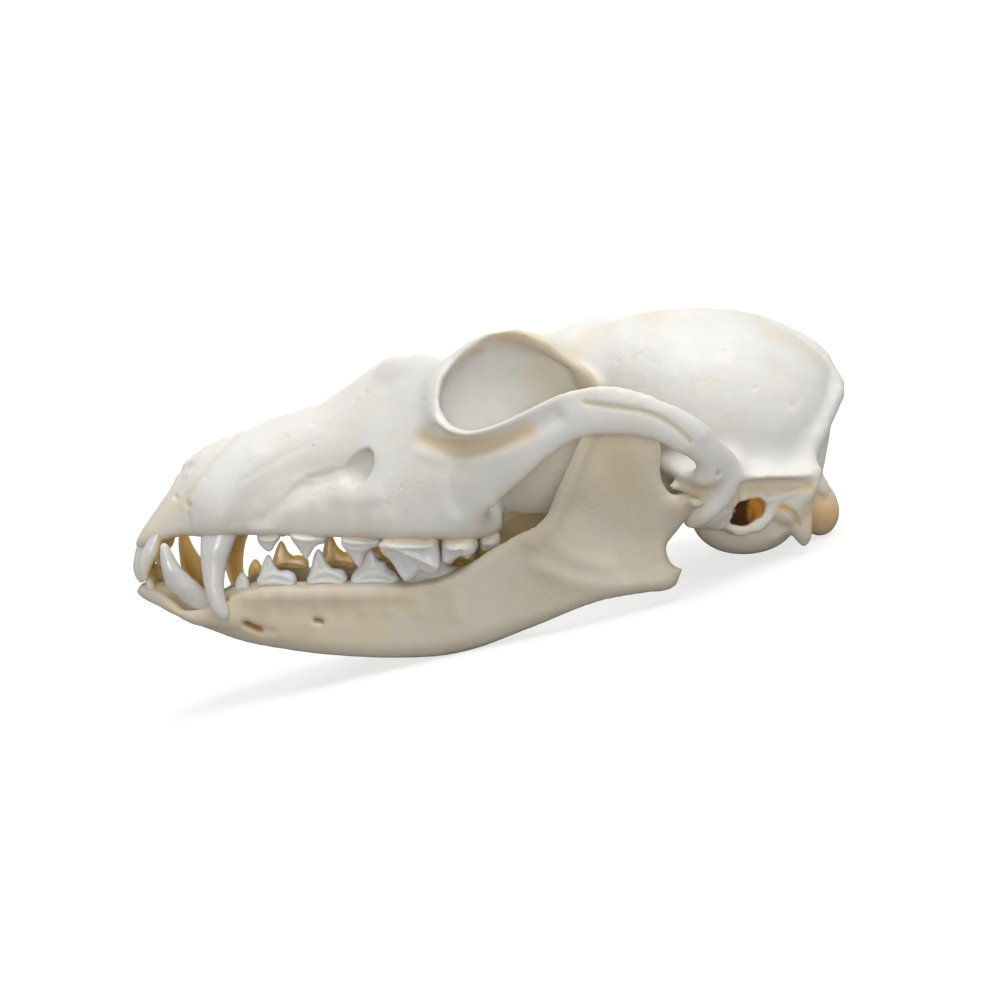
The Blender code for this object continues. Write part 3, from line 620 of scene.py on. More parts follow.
# The cranium. Masses: x, top, bottom, half width, height of the widest point, squareness above and below;
# brainHollow too. Ridges and other hollows: x, y, z, half across, half up. Swellings: centre, radii, turn.
cranium = {
    "voxel": 0.6, "fineVoxel": 0.45, "triangles": 195000,
    "masses": {
        "face": [
            (-0.6, -1.4, -3.4, 4.6, -2.6, 2.2, 2), (0.8, 1, -3.2, 6.6, -1.6, 2.2, 2.2),
            (3, 4.6, -2.6, 8, -0.5, 2.2, 2.4), (6, 9.2, -1.4, 8.6, 0.6, 2.2, 2.6),
            (9.4, 14.2, -0.3, 9, 1.5, 2.2, 2.8), (13.7, 17.8, 0.1, 11.6, 2.5, 2.1, 3.6),
            (19, 20.7, 0.4, 13.1, 3, 2, 3.6), (26.2, 23.7, 0.4, 12.2, 2.4, 2, 3.6),
            (33, 26, 0.4, 12.4, 2, 1.9, 3.6), (38.9, 27.9, 0.3, 13.8, 1.8, 1.8, 3.6),
            (46.4, 33, 0.4, 16.6, 2.2, 1.65, 3.2), (51.5, 36.3, 0.4, 19, 3.4, 1.65, 3.2),
            (55.5, 38, 0.5, 20.2, 4.3, 1.9, 3.1), (59, 38.2, 0.6, 21.2, 5.4, 2.35, 3),
            (62, 37.9, 0.8, 22, 6.6, 2.9, 2.8), (64, 37.4, 1, 22.6, 8, 3.2, 2.6),
            (69, 36.2, 3.6, 20.2, 12, 2, 2.2), (73, 34, 8, 13, 16, 2.2, 2.2),
            (77, 31, 12, 9, 20, 2.2, 2.2)],
        "brow": [
            (46, 31, 24, 5, 27, 2, 2), (54, 37.8, 24, 9.4, 31, 2.4, 2), (60, 38.3, 22, 11.5, 34, 3.2, 2),
            (65, 37.8, 20, 13.2, 35, 4, 1.7), (69, 39.2, 18, 14.2, 36.4, 5, 1.6),
            (73, 41.4, 18, 15, 38.6, 5.5, 1.6), (77, 42.4, 17, 15.8, 39.5, 5.5, 1.5),
            (82, 41.9, 17, 15.8, 38.4, 4, 1.5), (86, 43.2, 16, 14.2, 36.5, 2.3, 1.7),
            (90, 45, 15, 13, 34.5, 2.1, 1.9), (94, 45.7, 14, 13.5, 33, 2, 2)],
        "deep": [
            (56, 30, 2, 12.5, 14, 2.2, 3), (62, 31, 2.5, 12.5, 15, 2.4, 2.6), (70, 32, 3, 11.6, 20, 3, 2.2),
            (78, 33, 2.6, 11.2, 24, 3, 2), (86, 34, 2.2, 10.8, 24, 2.8, 2), (94, 36, 2.2, 11, 22, 2.6, 2.2),
            (99, 37, 5.2, 11.6, 19, 2.4, 2.6), (108, 38, 5.6, 12.5, 18, 2.2, 2.8),
            (116, 30, 4.8, 12, 14, 2.2, 3), (128, 28, 4, 10.5, 12, 2.2, 3),
            (139.2, 20, 3.6, 8, 10, 2.2, 3)],
        "palate": [
            (42, 7, 0.3, 14.8, 3, 3, 3.6), (52, 8, 0.3, 18.9, 3, 3, 3.6), (60, 9, 0.4, 21.6, 3.5, 3, 3.6),
            (68, 10, 0.4, 22.4, 4.2, 3, 3.6), (71, 10.5, 0.5, 21.6, 4.6, 3.4, 3.6),
            (73.6, 9.5, 0.8, 20.2, 4.4, 3.4, 3.4), (75.4, 6.5, 1.6, 17, 3.6, 3, 3)],
        "brain": [
            (84, 41.9, 28, 8, 36, 2, 2), (87, 43.9, 26, 10, 36, 2, 2), (91, 45.2, 22, 12, 34.5, 2, 2),
            (94, 45.7, 18, 13, 33, 2, 2), (100, 46.2, 12, 17.4, 29.5, 2, 2), (108, 46.5, 9, 21.9, 27, 2, 2),
            (117, 46.4, 7, 23.8, 25, 2, 2.1), (126, 44.9, 6, 23.3, 22.5, 2, 2.2),
            (133, 42.2, 5, 21.2, 19.5, 2, 2.4), (136.5, 40.2, 5.5, 18.5, 18, 2, 2.4),
            (139.2, 38.2, 8, 14.5, 20, 2, 2), (141.6, 35.8, 16, 9, 25, 2, 2),
            (143.2, 33.4, 25, 4.5, 29, 2, 2)]},
    "ridges": {
        "arch": [
            (48, 11, 13, 1.5, 5), (58, 16.2, 12.8, 2.4, 8.6), (67, 20.8, 13.2, 2.2, 9.2),
            (72, 24.4, 16.2, 1.8, 7.6), (77, 28.6, 19.4, 1.6, 6.2), (82, 32.2, 23.2, 1.45, 5.1),
            (88, 35.2, 26.5, 1.35, 4.6), (95, 37.1, 27.4, 1.35, 4.3), (101, 37.9, 26.7, 1.35, 4),
            (106, 37.9, 25.1, 1.45, 3.9), (111, 36.5, 22, 1.7, 4), (115, 32.8, 18.4, 2.3, 4),
            (118, 27, 15.8, 2.8, 3.8), (120, 20, 14.6, 3, 3.8)],
        "rimBack": [
            (71, 13.4, 39.6, 1.6, 1.4), (67.6, 13.8, 38, 1.7, 1.5), (64.6, 14.4, 35.6, 1.8, 1.6),
            (62.6, 15.6, 32.8, 1.8, 1.7), (61.6, 17.4, 29.4, 1.8, 1.7), (61.8, 19, 26.4, 1.8, 1.7),
            (63.4, 20.8, 23.8, 1.8, 1.6)],
        "rimShelf": [
            (61.6, 17.2, 25, 1.8, 1.6), (63.4, 19.6, 22.2, 1.8, 1.6), (67, 22.2, 21.4, 2, 1.4),
            (71, 24.6, 21.4, 2, 1.4), (75, 27, 22.6, 1.8, 1.4), (79, 30, 24.8, 1.4, 1.4)],
        "rim": [
            (95, 12.6, 27.6, 0.5, 0.5), (93, 15.4, 30.6, 0.6, 0.5), (90.4, 17, 34.4, 0.8, 0.6),
            (87, 16.8, 37.6, 1, 0.6), (82.6, 16.2, 40.6, 1.1, 0.6), (77.5, 15.6, 42, 1.1, 0.6),
            (73, 15, 41.3, 1.1, 0.6), (69.3, 14.8, 39.4, 1.2, 0.65), (66, 15.4, 36.6, 1.3, 0.7),
            (63.6, 16.9, 33.5, 1.4, 0.8), (62.5, 19, 29.6, 1.4, 0.85), (62.7, 20.8, 26.6, 1.4, 0.85),
            (64, 22.6, 24.3, 1.5, 0.8), (66.6, 24.6, 22.9, 1.5, 0.75), (70, 26.4, 22.7, 1.5, 0.75),
            (75.1, 29, 24.3, 1.4, 0.75), (80, 31.6, 26.7, 1.2, 0.75), (86, 34.6, 29.8, 1.1, 0.9),
            (92, 36.4, 31.3, 1, 0.9), (97, 37.3, 31.3, 1, 0.8), (103, 37.9, 29.9, 0.9, 0.7)],
        "browHorn": [
            (74, 9.5, 40.6, 5, 1.4), (80, 11.4, 40.6, 5, 1.5), (85, 13.6, 38.6, 3.8, 1.4),
            (89, 15.8, 35.6, 2.2, 1.2), (91.2, 14.8, 33, 2.5, 1.9), (93.6, 12.4, 29.4, 2.5, 1.9)],
        "nuchal": [
            (144.8, 0, 31.2, 1.4, 2.2), (144.4, 4, 30.2, 1.2, 2.2), (142.9, 7.5, 28.4, 1.1, 2.2),
            (141, 11, 25.8, 1.1, 2.2), (138.9, 14.5, 22.8, 1.1, 2.2), (136.2, 19, 19.2, 1.1, 2.4),
            (135.2, 21.6, 15.6, 1.4, 2.4), (133.6, 22.6, 11.4, 2.2, 2.4), (131.6, 21.8, 7.6, 2.2, 2.2)],
        "ledge": [
            (116.6, 29, 15.6, 2, 1.3), (121, 27.2, 14.5, 1.5, 0.8), (125, 26.4, 14.6, 1.4, 0.75),
            (130, 25.4, 14.5, 1.4, 0.75), (135, 23.4, 14.5, 1.4, 1)],
        "skirt": [
            (117, 25, 15.9, 2.6, 1.6), (121, 23.4, 15.3, 2.3, 1.4), (126, 22.6, 15.3, 2.2, 1.4),
            (131, 21.6, 15.3, 2.2, 1.4), (135, 20.3, 15.6, 1.7, 1.6)],
        "recess": [
            (117, 24.6, 13.2, 2.6, 2.2), (122, 23.4, 13, 2.5, 2.2), (127, 22.6, 12.8, 2.4, 2.2),
            (132, 21.4, 12.6, 2.2, 2.2)],
        "fossa": [
            (113.4, 35.6, 15, 2.8, 1.9), (113.2, 31, 14.7, 3.9, 2), (112.8, 24, 14.9, 4.8, 2.4),
            (112, 17, 16, 6, 4)],
        "hook": [
            (118, 26.6, 15, 5.4, 3.4), (116.6, 27, 11.4, 5.4, 3.5), (114, 27.2, 8.2, 5, 3.5),
            (111.8, 27, 6.2, 3.8, 2.4), (110.3, 26.8, 4.7, 2, 1.2)],
        "tympan": [(118.6, 23.6, 11, 4.4, 3), (117, 23.2, 7.6, 5, 3.2), (115.9, 22.4, 4.6, 4.6, 2.4)],
        "lip": [
            (107.4, 25.2, 12.6, 0.9, 0.5), (109.8, 26.4, 12.1, 2, 0.8), (112.8, 27.6, 11.8, 2.6, 1.2),
            (115.5, 28, 11.8, 2.8, 1.8)],
        "cheekEnd": [(64, 20.6, 6, 1.8, 4), (69, 21.4, 7, 1.8, 4.4), (72.6, 21.4, 7.6, 1.4, 3.6)],
        "spur": [
            (131.5, 18.5, 10, 3.6, 3.4), (133.4, 18.8, 5.5, 3, 2.8), (134.6, 18.8, 1.8, 1.8, 1.7),
            (134.9, 18.7, -0.3, 0.6, 0.6)],
        "condyleTop": [(133, 11, 12.5, 3.8, 3.6), (137, 9.6, 11.2, 3.7, 3.3), (139.2, 8.6, 9, 3.4, 2.9)],
        "condyleFoot": [(134, 2, 3.6, 2.2, 1.8), (137.4, 3.6, 3.4, 2.5, 2.2), (139.2, 6.6, 4.4, 2.8, 2.8)],
        "noseTip": [
            (15, 4, 16.8, 2, 0.9), (13.4, 3.8, 15.8, 1.8, 0.8), (11.5, 3.5, 15.1, 1.4, 0.7),
            (10.4, 3.3, 14.7, 1, 0.5), (9.7, 3.2, 14.2, 0.5, 0.35)]},
    "ear": [(122.6, 15, 8, 4.6, 4), (122.8, 20, 7.4, 5.6, 4.2), (123, 24.4, 7.2, 5.9, 4.3)],
    "earTwist": 25, "earHoleTwist": 26,
    "sagittal": [
        (120, 0, 45.8, 1, 0.9), (128, 0, 44.2, 0.9, 1), (134, 0, 41.8, 0.9, 1.1), (139.6, 0, 38.6, 1, 1.2),
        (143.4, 0, 34.4, 1.2, 1.3), (145, 0, 31.4, 1.4, 1.4)],
    "swellings": {"bulla": ((123.6, 14.6, 5.3, 10.8, 7.6, 7.8), (0, 0, -8)),
                  "condyle": ((139.5, 7.8, 6, 4.3, 4.4, 5.7), (0, -12, 20)),
                  "mastoid": ((131, 21, 9.5, 4.5, 3.2, 5), (0, 0, 0))},
    "orbit": (77.4, 20, 28.2, 15.6, 9, 14), "orbitTurn": (0, -6, 4), "orbitFlat": 0.55,
    "noseHollow": [
        (-5, 0, 2.8, 4.8, 4.2), (3, 0, 5, 4.8, 5.6), (12, 0, 9.2, 5, 5.8), (26, 0, 12, 5.6, 7.4),
        (42, 0, 15, 6.8, 10.4), (54, 0, 18, 7.1, 13.5), (64, 0, 22, 7.1, 13), (74, 0, 25, 6.2, 11.6),
        (82, 0, 28, 5.2, 9), (87.5, 0, 30, 4.4, 6.6)],
    "choana": [(66, 0, 0.5, 3, 3), (77, 0, 1.6, 4.6, 6), (88, 0, 1.2, 4.8, 8), (102, 0, 0, 5, 5.4)],
    "vault": [
        (5, 0, -3.4, 3, 1.6), (20, 0, -1.4, 5.2, 2.6), (45, 0, -1.4, 8.5, 3), (66, 0, -1, 11.5, 3),
        (80, 0, -1, 12, 2.8)],
    "brainHollow": [
        (90, 40.5, 28, 6.5, 34, 2, 2), (94, 43, 22, 10.4, 32, 2, 2), (100, 43.8, 14.5, 15, 29, 2, 2),
        (108, 44.2, 10, 19.6, 26.5, 2, 2), (117, 44.1, 8.4, 21.5, 25, 2, 2),
        (126, 42.6, 6.8, 21, 22.5, 2, 2.4), (132, 39.8, 6.6, 18.4, 19.5, 2, 2.6),
        (136.4, 35, 8.4, 12.5, 18, 2, 2.4)],
    "greatHole": [
        (152, 0, 11, 7.4, 7), (142, 0, 11.8, 7.2, 6.9), (136, 0, 12.4, 7, 6.7), (128, 0, 13.2, 6.8, 6.4)],
    "earHole": [
        (115.5, 13, 5.4, 2.2, 1.8), (117.6, 16.5, 5.8, 2.8, 2.2), (120.6, 20.2, 6.5, 3.3, 2.4),
        (122.4, 23, 7.2, 3.5, 2.3), (122.9, 25.2, 7.5, 3.75, 2.4), (123.1, 36, 7.5, 4.2, 2.7)],
    "faceHole": [
        (39.5, 15.4, 12, 1.5, 1.6), (43.5, 15, 13.8, 2, 2.9), (47.2, 14.1, 14.9, 2.2, 3.6),
        (50, 12.9, 15, 2.2, 3.6), (53, 11.6, 15.2, 2, 3.3), (60, 11.2, 15.8, 1.6, 2.4)],
}


def buildCranium(info):
    bm = bmesh.new()
    for rows in info["masses"].values():
        body(bm, rows)
    item = solid("craniumBone", bm)
    skin(item, info["voxel"], 2)
    bm = bmesh.new()
    ball(bm, *info["orbit"], turn=info["orbitTurn"], flat=info["orbitFlat"])
    carve(item, solid("orbits", bm))

    def addRidges(extra):
        for rows in info["ridges"].values():
            rod(extra, rows)
        rod(extra, info["ear"], twist=info["earTwist"])
        rod(extra, info["sagittal"], bothSides=False)
        for shape, turn in info["swellings"].values():
            ball(extra, *shape, turn=turn)

    join(item, addRidges)
    skin(item, info["voxel"], 3)
    # each cut's shape, sides, spacing and, for a rod, whether it is on both sides and its twist
    cuts = {"noseHollow": (rod, 24, 2, False), "choana": (rod, 20, 2, False), "vault": (rod, 20, 3, False),
            "brainHollow": (body, 32, 3), "greatHole": (rod, 28, 3, False),
            "earHole": (rod, 24, 1.2, True, info["earHoleTwist"]), "faceHole": (rod, 20, 2)}
    for name, (shape, *settings) in cuts.items():
        bm = bmesh.new()
        shape(bm, info[name], *settings)
        carve(item, solid(name, bm))
    skin(item, info["fineVoxel"], 4)
    return item


craniumItem = buildCranium(cranium)
print("cranium shaped:", len(craniumItem.data.vertices), "points")

# Strokes: path, width, height above (or depth below) the surface, and how far out they start from the middle
# plane. Paths of (x, z) points are drawn from the side, paths of (x, y, z) points in space.
cheekSuture = [(90.4, 29.2), (93.3, 28.8), (101.4, 27.6), (106.4, 25.2), (109.9, 22.2)]
noseSuture = [(12.3, 1.7), (12.2, 4.0), (11.3, 7.9), (13.3, 10.9), (16.8, 15.9), (21.1, 20.2)]
templeLine = [(86, 15, 39.8), (93, 11, 42.6), (103, 7, 45.2), (115, 3.5, 46.2), (127, 1.5, 44.9)]
craniumStrokes = [
    ([(17, 1.5), (18.5, 6), (21.5, 11), (26, 15)], 3.6, 0.7, 6),
    ([(27, 9), (32, 12), (38, 14)], 3, -0.35, 6),
    ([(27.3, 4.2), (30.8, 7.2), (34.9, 9.9), (39, 12), (44.1, 14.2), (48, 15.2)], 2.1, -0.6, 6),
    ([(36, 11.4), (42, 13.8), (46, 14.8)], 3, -0.7, 6), ([(28, 2.6), (32, 5.6), (37, 8)], 1.5, 0.22, 6),
    ([(42.7, 9.3), (46.5, 8.6), (50.2, 9.5)], 1.9, 0.35, 6),
    ([(31.2, 7.4), (33.5, 10.2), (36.5, 11.3)], 0.6, -0.2, 6),
    ([(36, 12.6), (39, 12.9), (43, 14.2)], 0.5, -0.2, 6),
    ([(33.5, 11.8), (37.5, 13.6), (41, 15)], 0.7, 0.18, 6),
    ([(38, 9.8), (41.5, 11.2), (45, 11.8)], 0.6, 0.2, 6), ([(23, 12), (30, 16), (38, 20)], 0.6, -0.12, 6),
    ([(60, 21), (66, 19.6), (73, 20.6), (80, 23.8), (85, 26.4)], 1.7, -0.9, 16),
    ([(60, 18.4), (66, 17), (73, 18.2), (79, 21)], 1.2, 0.25, 16),
    ([(62, 13), (68, 14.5), (75, 18)], 3, 0.3, 16), (noseSuture, 0.5, -0.22, 2),
    (cheekSuture, 0.45, -0.38, 30), ([(93, 30.2), (101, 29.6), (107, 27.4), (112, 23)], 1.2, 0.22, 30),
    ([(121.5, 12.4), (126, 12.5), (131, 12.5), (134.5, 12.4)], 1, -1, 16), (templeLine, 1.1, 0.3),
    ([(58, 0, 38), (66, 0, 38.5), (74, 0, 41)], 4, -1),
    ([(129, 35), (135, 30), (136, 24), (132, 18)], 2.4, -0.4, 6),
    ([(16, 5.5, 18.5), (26, 5.8, 22.3), (38, 6, 26), (50, 5, 33)], 0.5, -0.14),
    ([(11, 0, 17), (26, 0, 23.7), (38, 0, 27.8), (52, 0, 35.5)], 0.5, -0.2),
    ([(129.5, 8.1), (130.9, 7.4), (132.2, 6.2), (132.9, 4.4)], 0.55, -0.7, 12),
    ([(128.6, 1.7), (130.5, 3)], 0.9, 0.4, 12),
    ([(126.6, 9.9), (129.4, 10.4), (134.5, 12.8)], 0.7, 0.4, 16),
    ([(119, 8.7), (120.3, 10.6), (122.5, 11.7), (125.3, 11.7), (126.7, 10.9)], 0.5, -0.5, 16),
    ([(115.6, 16), (115.6, 15.8)], 0.45, -0.9, 24),
    ([(117.8, 8.7), (115.7, 6.8), (113.3, 4.6)], 0.5, -0.25, 20),
    ([(135.6, 12), (135.4, 7), (135, 2)], 0.9, 0.4, 16), ([(138.6, 9.2), (140.2, 8.2)], 0.6, -0.5, 4),
    ([(12.1, 7), (12.1, 6.8)], 0.5, -0.5, 2), ([(8.9, 8.4), (8.9, 8.2)], 0.45, -0.5, 2),
    ([(77.5, 4.2), (78.2, 4)], 0.6, -0.6, 4)]

# Small pits and holes seen from the side: x, z
pits = [
    (59.9, 28.4), (60.9, 6), (68.5, 14.6), (43.8, 30.3), (45.4, 27.9), (47.5, 29.4), (15.4, 12.5),
    (20.5, 3.4), (52.6, 8.2), (55.4, 11.6), (31.5, 20.5), (36.8, 23.2), (98, 36), (124, 31), (131.4, 27.5),
    (118.5, 38)]

# Painted masks: path, width, amount and, as for the strokes, how far out they start
craniumTints = {
    # Several stain marks are painted shade: under the orbit's rim and the brow's horn, in the orbit, beneath
    # the ledge, behind the arch and under the bulla.
    "stainAndPaintedLight": [
        ([(60, 21.2), (66, 19.8), (73, 20.6), (80, 23.4)], 1.9, 0.85, 16),
        ([(121, 12), (126, 12.2), (131, 12.2), (135, 12)], 1.5, 0.7, 16),
        ([(2, -1), (6, 4), (9, 6)], 3.6, 0.35, 2), ([(140, 5), (143, 5)], 5.5, 1, 2),
        ([(129.5, 8), (131.6, 7), (133, 4.4)], 1, 0.8, 12),
        ([(119, 8.7), (120.3, 10.6), (122.5, 11.7), (125.3, 11.7), (126.7, 10.9)], 0.7, 0.8, 16),
        ([(134, 9), (134.6, 3)], 1.4, 0.35, 12), ([(88, 36), (92, 40), (96, 43)], 2.4, 0.35, 8),
        ([(103, 44), (108, 45)], 2, 0.2, 2),
        ([(76, 15, 40.6), (79, 16, 41), (83, 16, 39.4), (87, 16.5, 36.6), (90.5, 16, 33.6), (93.5, 14, 30)],
         2.2, 0.8),
        ([(84, 11, 34), (88, 11.5, 28), (90, 12, 22)], 5, 0.45),
        ([(80, 11, 8), (86, 11, 14), (84, 11, 18)], 5, 0.35),
        ([(106.4, 12.9), (109.4, 11.8), (114.2, 11.4)], 0.8, 0.6, 22),
        ([(110.4, 5.4), (112.4, 6.4)], 1.2, 0.5, 20), ([(7, -1.2), (10, 1.4)], 1.4, 0.4, 2),
        ([(128, 41.6), (134, 39.4), (139, 36)], 1.6, 0.3, 2), ([(74, 8), (80, 10), (86, 14)], 2, 0.3, 6),
        ([(115, 1), (124, -0.5), (131, 1)], 4.5, 0.5, 6), ([(20, 3), (34, 6), (50, 4)], 5, 0.12, 6)],
    "seam": [(cheekSuture, 0.5, 0.7, 30), (noseSuture, 0.45, 0.35, 2)],
    # Painted shade: darker low and high on the maxilla, at the nose's front, on the lower braincase and the
    # occipital condyle, and inside a pit.
    "shade": [
        ([(115.6, 16), (115.6, 15.8)], 0.45, 0.35, 24), ([(16, 2), (40, 3), (66, 3)], 6.5, 0.2, 6),
        ([(22, 14), (44, 19)], 6, 0.06, 6), ([(98, 17), (112, 20), (128, 21)], 6, 0.08, 10),
        ([(3, 0), (8, 4)], 5, 0.08, 2), ([(140, 4), (143, 3)], 5, 0.2, 2)],
    "amber": [
        ([(12.1, 7), (12.1, 6.8)], 0.5, 0.4, 2), ([(129.3, 8.2), (130.2, 7.6)], 0.6, 0.6, 12),
        ([(138.5, 4.5), (142, 4)], 4.5, 0.34, 2), ([(77.5, 4.2), (78.2, 4)], 0.6, 0.4, 4)],
}

# Where the remeshed form is smoothed: x, y, z, radius
easeSpots = [
    (113, 34, 17, 5), (117.5, 28.5, 13.5, 4), (114.5, 28.5, 8.5, 5), (116, 26, 6, 4), (118.8, 26, 8.2, 2.4),
    (120.7, 24.6, 7.7, 1.2), (122, 27, 16.5, 2.5), (72, 21, 8, 3.5), (131.5, 22, 10, 3.5),
    (144, 2, 32, 3.5), (82, 12, 41.5, 3.5), (76, 12, 41.5, 3), (52, 14, 12, 2), (50.5, 15.5, 11, 1.4),
    (61, 6, 37.5, 5), (64, 12, 36.5, 4)]
# Where it is smoothed beside a ridge: the ridge's rows, how far beside them, radius, passes
easeBeside = [("nuchal", 0, 7, (-2.4, -0.6, 0.6), 2.4, 25), ("rim", 8, 12, (-3.4, -1.8, 0.4), 3, 20),
              ("skirt", 0, 5, (0, -0.4, 3), 3, 60)]
# Waves: size, seed, height. The edge wave roughens the rim of the ear canal and the front of the nose.
craniumSurface = {"waves": [(9, 1, 0.12), (3.4, 2, 0.05)], "edgeWave": (1.5, 5, 0.4),
                  "earRim": (122.8, 25, 7.3, 4.6),
                  "roots": (26.5, 34, 38.5, 44.5, 49.5, 53, 60.5, 65.5, 69.5)}
# The ear canal's colour, orange inside, with painted shade where it turns forward. It starts at the edge's
# y, and further out by edgeRise at the canal's upper front.
earCanal = {
    "path": [(115.5, 13, 5.4), (117.6, 16.5, 5.8), (120.6, 20.2, 6.5), (122.2, 23, 7.1), (122.7, 30, 7.3)],
    "radius": 5.4, "axis": (121.6, 0, 6.6), "edge": 24.0, "edgeRise": 1.8, "paintedShadeBefore": 123.8,
}


def scribble(form, count, low, high, seed):
    # faint short grooves and ridges, winding across the bone between two corners (x, z)
    random = np.random.default_rng(seed)
    for _ in range(count):
        x, z = random.uniform(low, high)
        heading = random.uniform(-0.9, 0.9)
        path = [(x, z)]
        for _ in range(random.integers(2, 5)):
            heading += random.uniform(-0.7, 0.7)
            x, z = x + 1.5 * math.cos(heading), z + 1.5 * math.sin(heading)
            path.append((x, z))
        stroke(form, path, random.uniform(0.4, 0.7), random.choice((-0.05, 0.045)), 6)


def paintCanal(form, info):
    points = fold(form["co"])
    canal = ramp(distanceTo(points, info["path"]), info["radius"], -1)
    away = (form["co"] - info["axis"]) * (1, 0, 1)
    away /= np.linalg.norm(away, axis=1)[:, None]
    facingIn = np.einsum("ij,ij->i", form["normal"], away) < 0.4
    front, upper = ramp(points[:, 0], 120.6, -1.5), ramp(points[:, 2], 5.6, 0.8)
    edge = info["edge"] + info["edgeRise"] * front * upper
    inside = canal * ramp(points[:, 1], edge, -1) * facingIn
    form["amber"] = np.maximum(form["amber"], inside)
    # painted shade deep in the canal where it turns forward
    form["shade"] = np.maximum(form["shade"], inside * ramp(points[:, 0], info["paintedShadeBefore"], -0.6) * 0.9)


def sculptCranium(item):
    form = readForm(item)
    relax(form, nearSpots(form, easeSpots), 30)
    for ridge, first, end, (dx, dy, dz), radius, passes in easeBeside:
        rows = cranium["ridges"][ridge][first:end]
        relax(form, nearSpots(form, [(x + dx, y + dy, z + dz, radius) for x, y, z, *_ in rows]), passes)
    writeForm(form)
    form = readForm(item)
    points = fold(form["co"])
    noseFront = ramp(points[:, 0], 15, -4) * ramp(points[:, 2], 11, 3)
    edges = nearSpots(form, [craniumSurface["earRim"]]) + noseFront
    size, seed, height = craniumSurface["edgeWave"]
    rough = lumps(form, craniumSurface["waves"]) + edges * waver(form["co"], size, seed) * height
    form["co"] += form["normal"] * rough[:, None]
    roots = [([(x, 1.2), (x + 0.5, 5.5)], 1.5, 0.3, 8) for x in craniumSurface["roots"]]
    holes = [([(x, z), (x + 0.3, z + 0.1)], 0.35, -0.16, 5) for x, z in pits]
    for mark in craniumStrokes + roots + holes:
        stroke(form, *mark)
    scribble(form, 26, (97, 24), (134, 41), 3)
    scribble(form, 16, (18, 5), (56, 24), 4)
    paint(form, craniumTints)
    # Painted light: bone that faces the middle plane takes the warm stain colour for light bounced between
    # the bones, and bone that faces down takes it as painted shade.
    innerPaintedLight = np.clip(-form["normal"][:, 1] * np.sign(form["co"][:, 1]), 0, 1) * 0.6
    underPaintedShade = np.clip(-form["normal"][:, 2] * 1.4 - 0.3, 0, 1) * 0.5
    form["stainAndPaintedLight"] = np.maximum(form["stainAndPaintedLight"], np.maximum(innerPaintedLight, underPaintedShade))
    paintCanal(form, earCanal)
    writeForm(form, ("stainAndPaintedLight", "seam", "amber", "shade"))


sculptCranium(craniumItem)
thin(craniumItem, cranium["triangles"])
place(craniumItem, "cranium", boneMaterial)
print("cranium placed:", len(craniumItem.data.polygons), "faces")


# The lower jaw: the side view's outline, the bone's middle as x, y and half thickness, and the gums as x, z.
# Knobs are rods like the ridges of the cranium. The middle cut is a box: its centre and size.
jaw = {
    "voxel": 0.45, "triangles": 90000,
    "outline": [
        (-0.9, -12.2), (1.6, -13.9), (8.8, -16.5), (19.1, -20.9), (34.3, -23.2), (46.8, -23.8),
        (58.7, -23.4), (68.9, -21.3), (80.8, -15.9), (92.4, -10.3), (101.9, -7.8), (106.4, -7.2),
        (108.6, -6.2), (109.4, -4.3), (110, -3), (108.6, -2.7), (107.2, -1.2), (107, 1.4), (107.8, 3.6),
        (109.4, 5.2), (110.6, 7), (112.2, 9), (112.2, 10.6), (109.6, 11.1), (107, 12), (105.4, 14.8),
        (105.4, 20), (104.4, 25), (101.6, 29), (98, 30.4), (94.6, 29.2), (92, 25.4), (89.9, 20.8),
        (87.9, 15.8), (85.7, 10.9), (84.4, 7), (82.2, 4.4), (79, 3), (75.8, 1), (72.4, -1.2), (68.6, -3.8),
        (64, -6.2), (58, -7.6), (50, -8.2), (40, -8.8), (30, -9.2), (24, -9.8), (19.5, -11.2),
        (16.6, -12.8), (13.6, -14.4), (10.8, -15), (8.6, -13.3), (5.6, -11.3), (2.8, -10.4), (0.6, -10.3)],
    "middle": [
        (-1, 2, 2.6), (4, 3.2, 4), (8, 4.3, 5.2), (12, 4.9, 5.9), (18, 5.8, 5.9), (22, 7.2, 4.6),
        (26, 8.4, 3.6), (32, 9.7, 3.2), (45, 12.1, 3.1), (58, 14.7, 3.3), (70, 18, 3.3), (78, 21.2, 2.9),
        (86, 24.4, 2.2), (96, 26.6, 1.6), (104, 27.6, 1.5), (113, 28.2, 1.6)],
    "gums": [(0, -11), (12, -13.6), (20, -12.4), (30, -9.9), (80, -7.4), (90, -5)],
    "knobs": {
        "pin": [
            (110.4, 20.5, 9.6, 1.5, 1.4), (110.6, 25, 10, 2.1, 1.7), (110.8, 29.5, 10, 2.4, 1.5),
            (111.5, 33, 10.1, 1.9, 1.1), (111.9, 34.3, 10.3, 1, 0.7)],
        "corner": [(101, 27.4, -4.6, 1.6, 1.6), (105, 27.2, -5, 1.9, 1.7), (108.6, 26.6, -4.2, 1.5, 1.2)],
        "neck": [(105.6, 27.8, 4, 1.7, 3), (108, 28.8, 7.2, 2.6, 2.6), (109.8, 29.6, 9.6, 3.6, 2.2)],
        "socket": [
            (10.2, 8.2, -15.8, 1.4, 0.8), (13, 8.9, -16.2, 1.9, 1.5), (16, 9.2, -16, 2, 2.2),
            (19, 8.8, -15.2, 1.9, 2.4), (22.5, 8.6, -14.2, 1.3, 1.8)],
        "chin": [
            (0.6, 2.4, -11.7, 2, 1.2), (3.4, 3.2, -11.6, 2.3, 1.6), (6.6, 4, -12, 2.2, 1.7),
            (9.8, 4.4, -13.2, 2, 1.6), (13, 4.6, -14.6, 1.8, 1.4)]},
    "middleCut": ((50, -49.85, 0), (200, 100, 200)),
}


